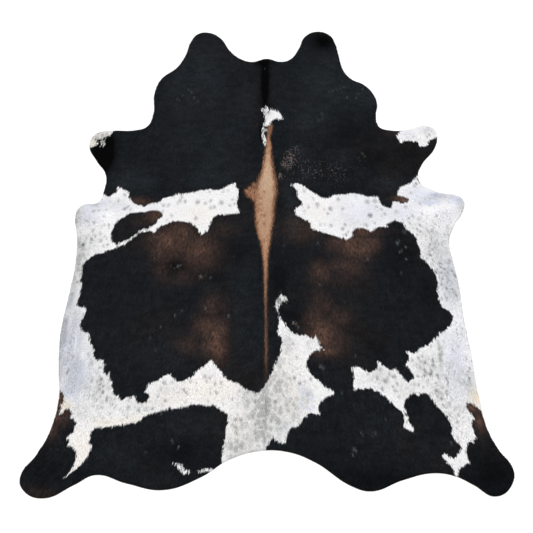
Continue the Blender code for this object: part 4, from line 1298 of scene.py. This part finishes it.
def lock_mesh(name, roots, way, length, draws):
    """Some locks joined in one mesh, each with its colour drawn where it shows."""
    side = np.column_stack([way[:, 1], -way[:, 0]])
    width = LOCK_WIDTH * (NARROWEST + WIDTH_RANGE * draws[:, 0]) * np.sqrt(length / LOCK_LENGTH)
    reach = way * length[:, None]
    seen = roots + reach * SEEN_SHARE
    own = markings(seen)
    rise = 1 + RISE_SPREAD * (2 * draws[:, 1] - 1)
    places = np.stack([
        roots - side * width[:, None] / 2,
        roots + side * width[:, None] / 2,
        roots + reach,
        roots + reach * RIDGE_PLACE,
    ], axis=1)
    flat = places.reshape(-1, 2)
    inset = np.maximum(depth_inside(flat, EDGE_RING), 0.0)
    heights = haired_side(flat, inset).reshape(-1, LOCK_POINTS)
    heights[:, :2] -= ROOT_SINK
    heights[:, 2] += TIP_RISE * rise
    heights[:, 3] += RIDGE_RISE * rise
    corners = np.concatenate([places, heights[:, :, None]], axis=2).reshape(-1, 3)
    first = np.arange(len(roots))[:, None, None] * LOCK_POINTS
    faces = (np.array(LOCK_FACES)[None] + first).reshape(-1, 3)
    mesh = bpy.data.meshes.new(name)
    mesh.from_pydata(corners, [], faces)
    mesh.update()
    own["grows_at"] = lay_place(seen)
    own["tone"] = draws[:, 2]
    lock_white = np.repeat(own.pop("white"), LOCK_POINTS)
    write_values(mesh, own, copies=LOCK_POINTS)
    true_place = {"skin_at": np.column_stack([flat / MM, np.zeros(len(flat))])}
    true_place["white"] = (markings(flat)["white"] + lock_white) / 2
    write_values(mesh, true_place)
    zero = np.zeros(len(roots))
    strand = np.stack([
        np.column_stack([-width / 2, zero]),
        np.column_stack([width / 2, zero]),
        np.column_stack([zero, length]),
        np.column_stack([zero, length * RIDGE_PLACE]),
    ], axis=1) / MM
    own_place = np.repeat(draws[:, :1] * STRAND_SHIFT, LOCK_POINTS, axis=0)
    write_values(mesh, {"strand": np.column_stack([strand.reshape(-1, 2), own_place])})
    map_from_above(mesh, flat)
    piece = bpy.data.objects.new(name, mesh)
    bpy.context.scene.collection.objects.link(piece)
    mesh.materials.append(hair_material)
    mesh.shade_smooth()
    return piece


lock_roots, lock_way, lock_length, lock_draws = coat_locks()
from_tail = np.argsort(lock_roots[:, 1], kind="stable")
for name, chosen in zip(COAT_PIECES, np.array_split(from_tail, len(COAT_PIECES))):
    own = [values[chosen] for values in (lock_roots, lock_way, lock_length, lock_draws)]
    piece = lock_mesh(name, *own)
    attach(piece, "root")

# ---------------------------------------------------- the floor and the light
# A plain white studio floor under large soft lamps, so that the hide throws
# hardly any shadow, and a camera above its tail end looking down on it.
FLOOR_SIZE = 40.0
FLOOR_WHITE = "f9f9f9"
PAPER_ROUGHNESS, PAPER_SHEEN = 0.9, 0.1
SKY = "ffffff"
SKY_STRENGTH = 0.50
CAMERA_LENS = 50.0             # mm on a 36 mm sensor
CAMERA_TILT = math.radians(67)  # down from level
CAMERA_DISTANCE = 3.224
CAMERA_AIM = Vector((-0.003, -0.1561, 0.0))
Lamp = namedtuple("Lamp", "name place size power")
LAMPS = [
    Lamp("overhead_left", (-2.6, 0.6, 3.4), 3.0, 86.0),
    Lamp("overhead_right", (2.6, 0.6, 3.4), 3.0, 86.0),
    Lamp("front", (0.0, -3.4, 3.0), 3.0, 55.0),
]


def studio_floor():
    bpy.ops.mesh.primitive_plane_add(size=FLOOR_SIZE, location=(0.0, 0.0, 0.0))
    floor = bpy.context.object
    floor.name = "studio_floor"
    material, _, shader = new_material("studio_paper")
    fill(shader, {
        "Base Color": FLOOR_WHITE, "Roughness": PAPER_ROUGHNESS,
        "Specular IOR Level": PAPER_SHEEN,
    })
    floor.data.materials.append(material)
    return floor


studio_floor()

for lamp in LAMPS:
    light = bpy.data.lights.new(lamp.name, "AREA")
    light.shape = "DISK"
    light.size = lamp.size
    light.energy = lamp.power
    holder = bpy.data.objects.new(lamp.name, light)
    holder.location = lamp.place
    holder.rotation_euler = (-Vector(lamp.place)).to_track_quat("-Z", "Y").to_euler()
    bpy.context.scene.collection.objects.link(holder)

world = bpy.data.worlds.new("studio")
world.use_nodes = True
fill(world.node_tree.nodes["Background"], {"Color": SKY, "Strength": SKY_STRENGTH})
bpy.context.scene.world = world
bpy.context.scene.view_settings.view_transform = "Standard"

camera_data = bpy.data.cameras.new("camera")
camera_data.lens = CAMERA_LENS
camera = bpy.data.objects.new("camera", camera_data)
from_aim = Vector((0.0, -math.cos(CAMERA_TILT), math.sin(CAMERA_TILT)))
camera.location = CAMERA_AIM + CAMERA_DISTANCE * from_aim
camera.rotation_euler = (math.pi / 2 - CAMERA_TILT, 0.0, 0.0)
bpy.context.scene.collection.objects.link(camera)
bpy.context.scene.camera = camera
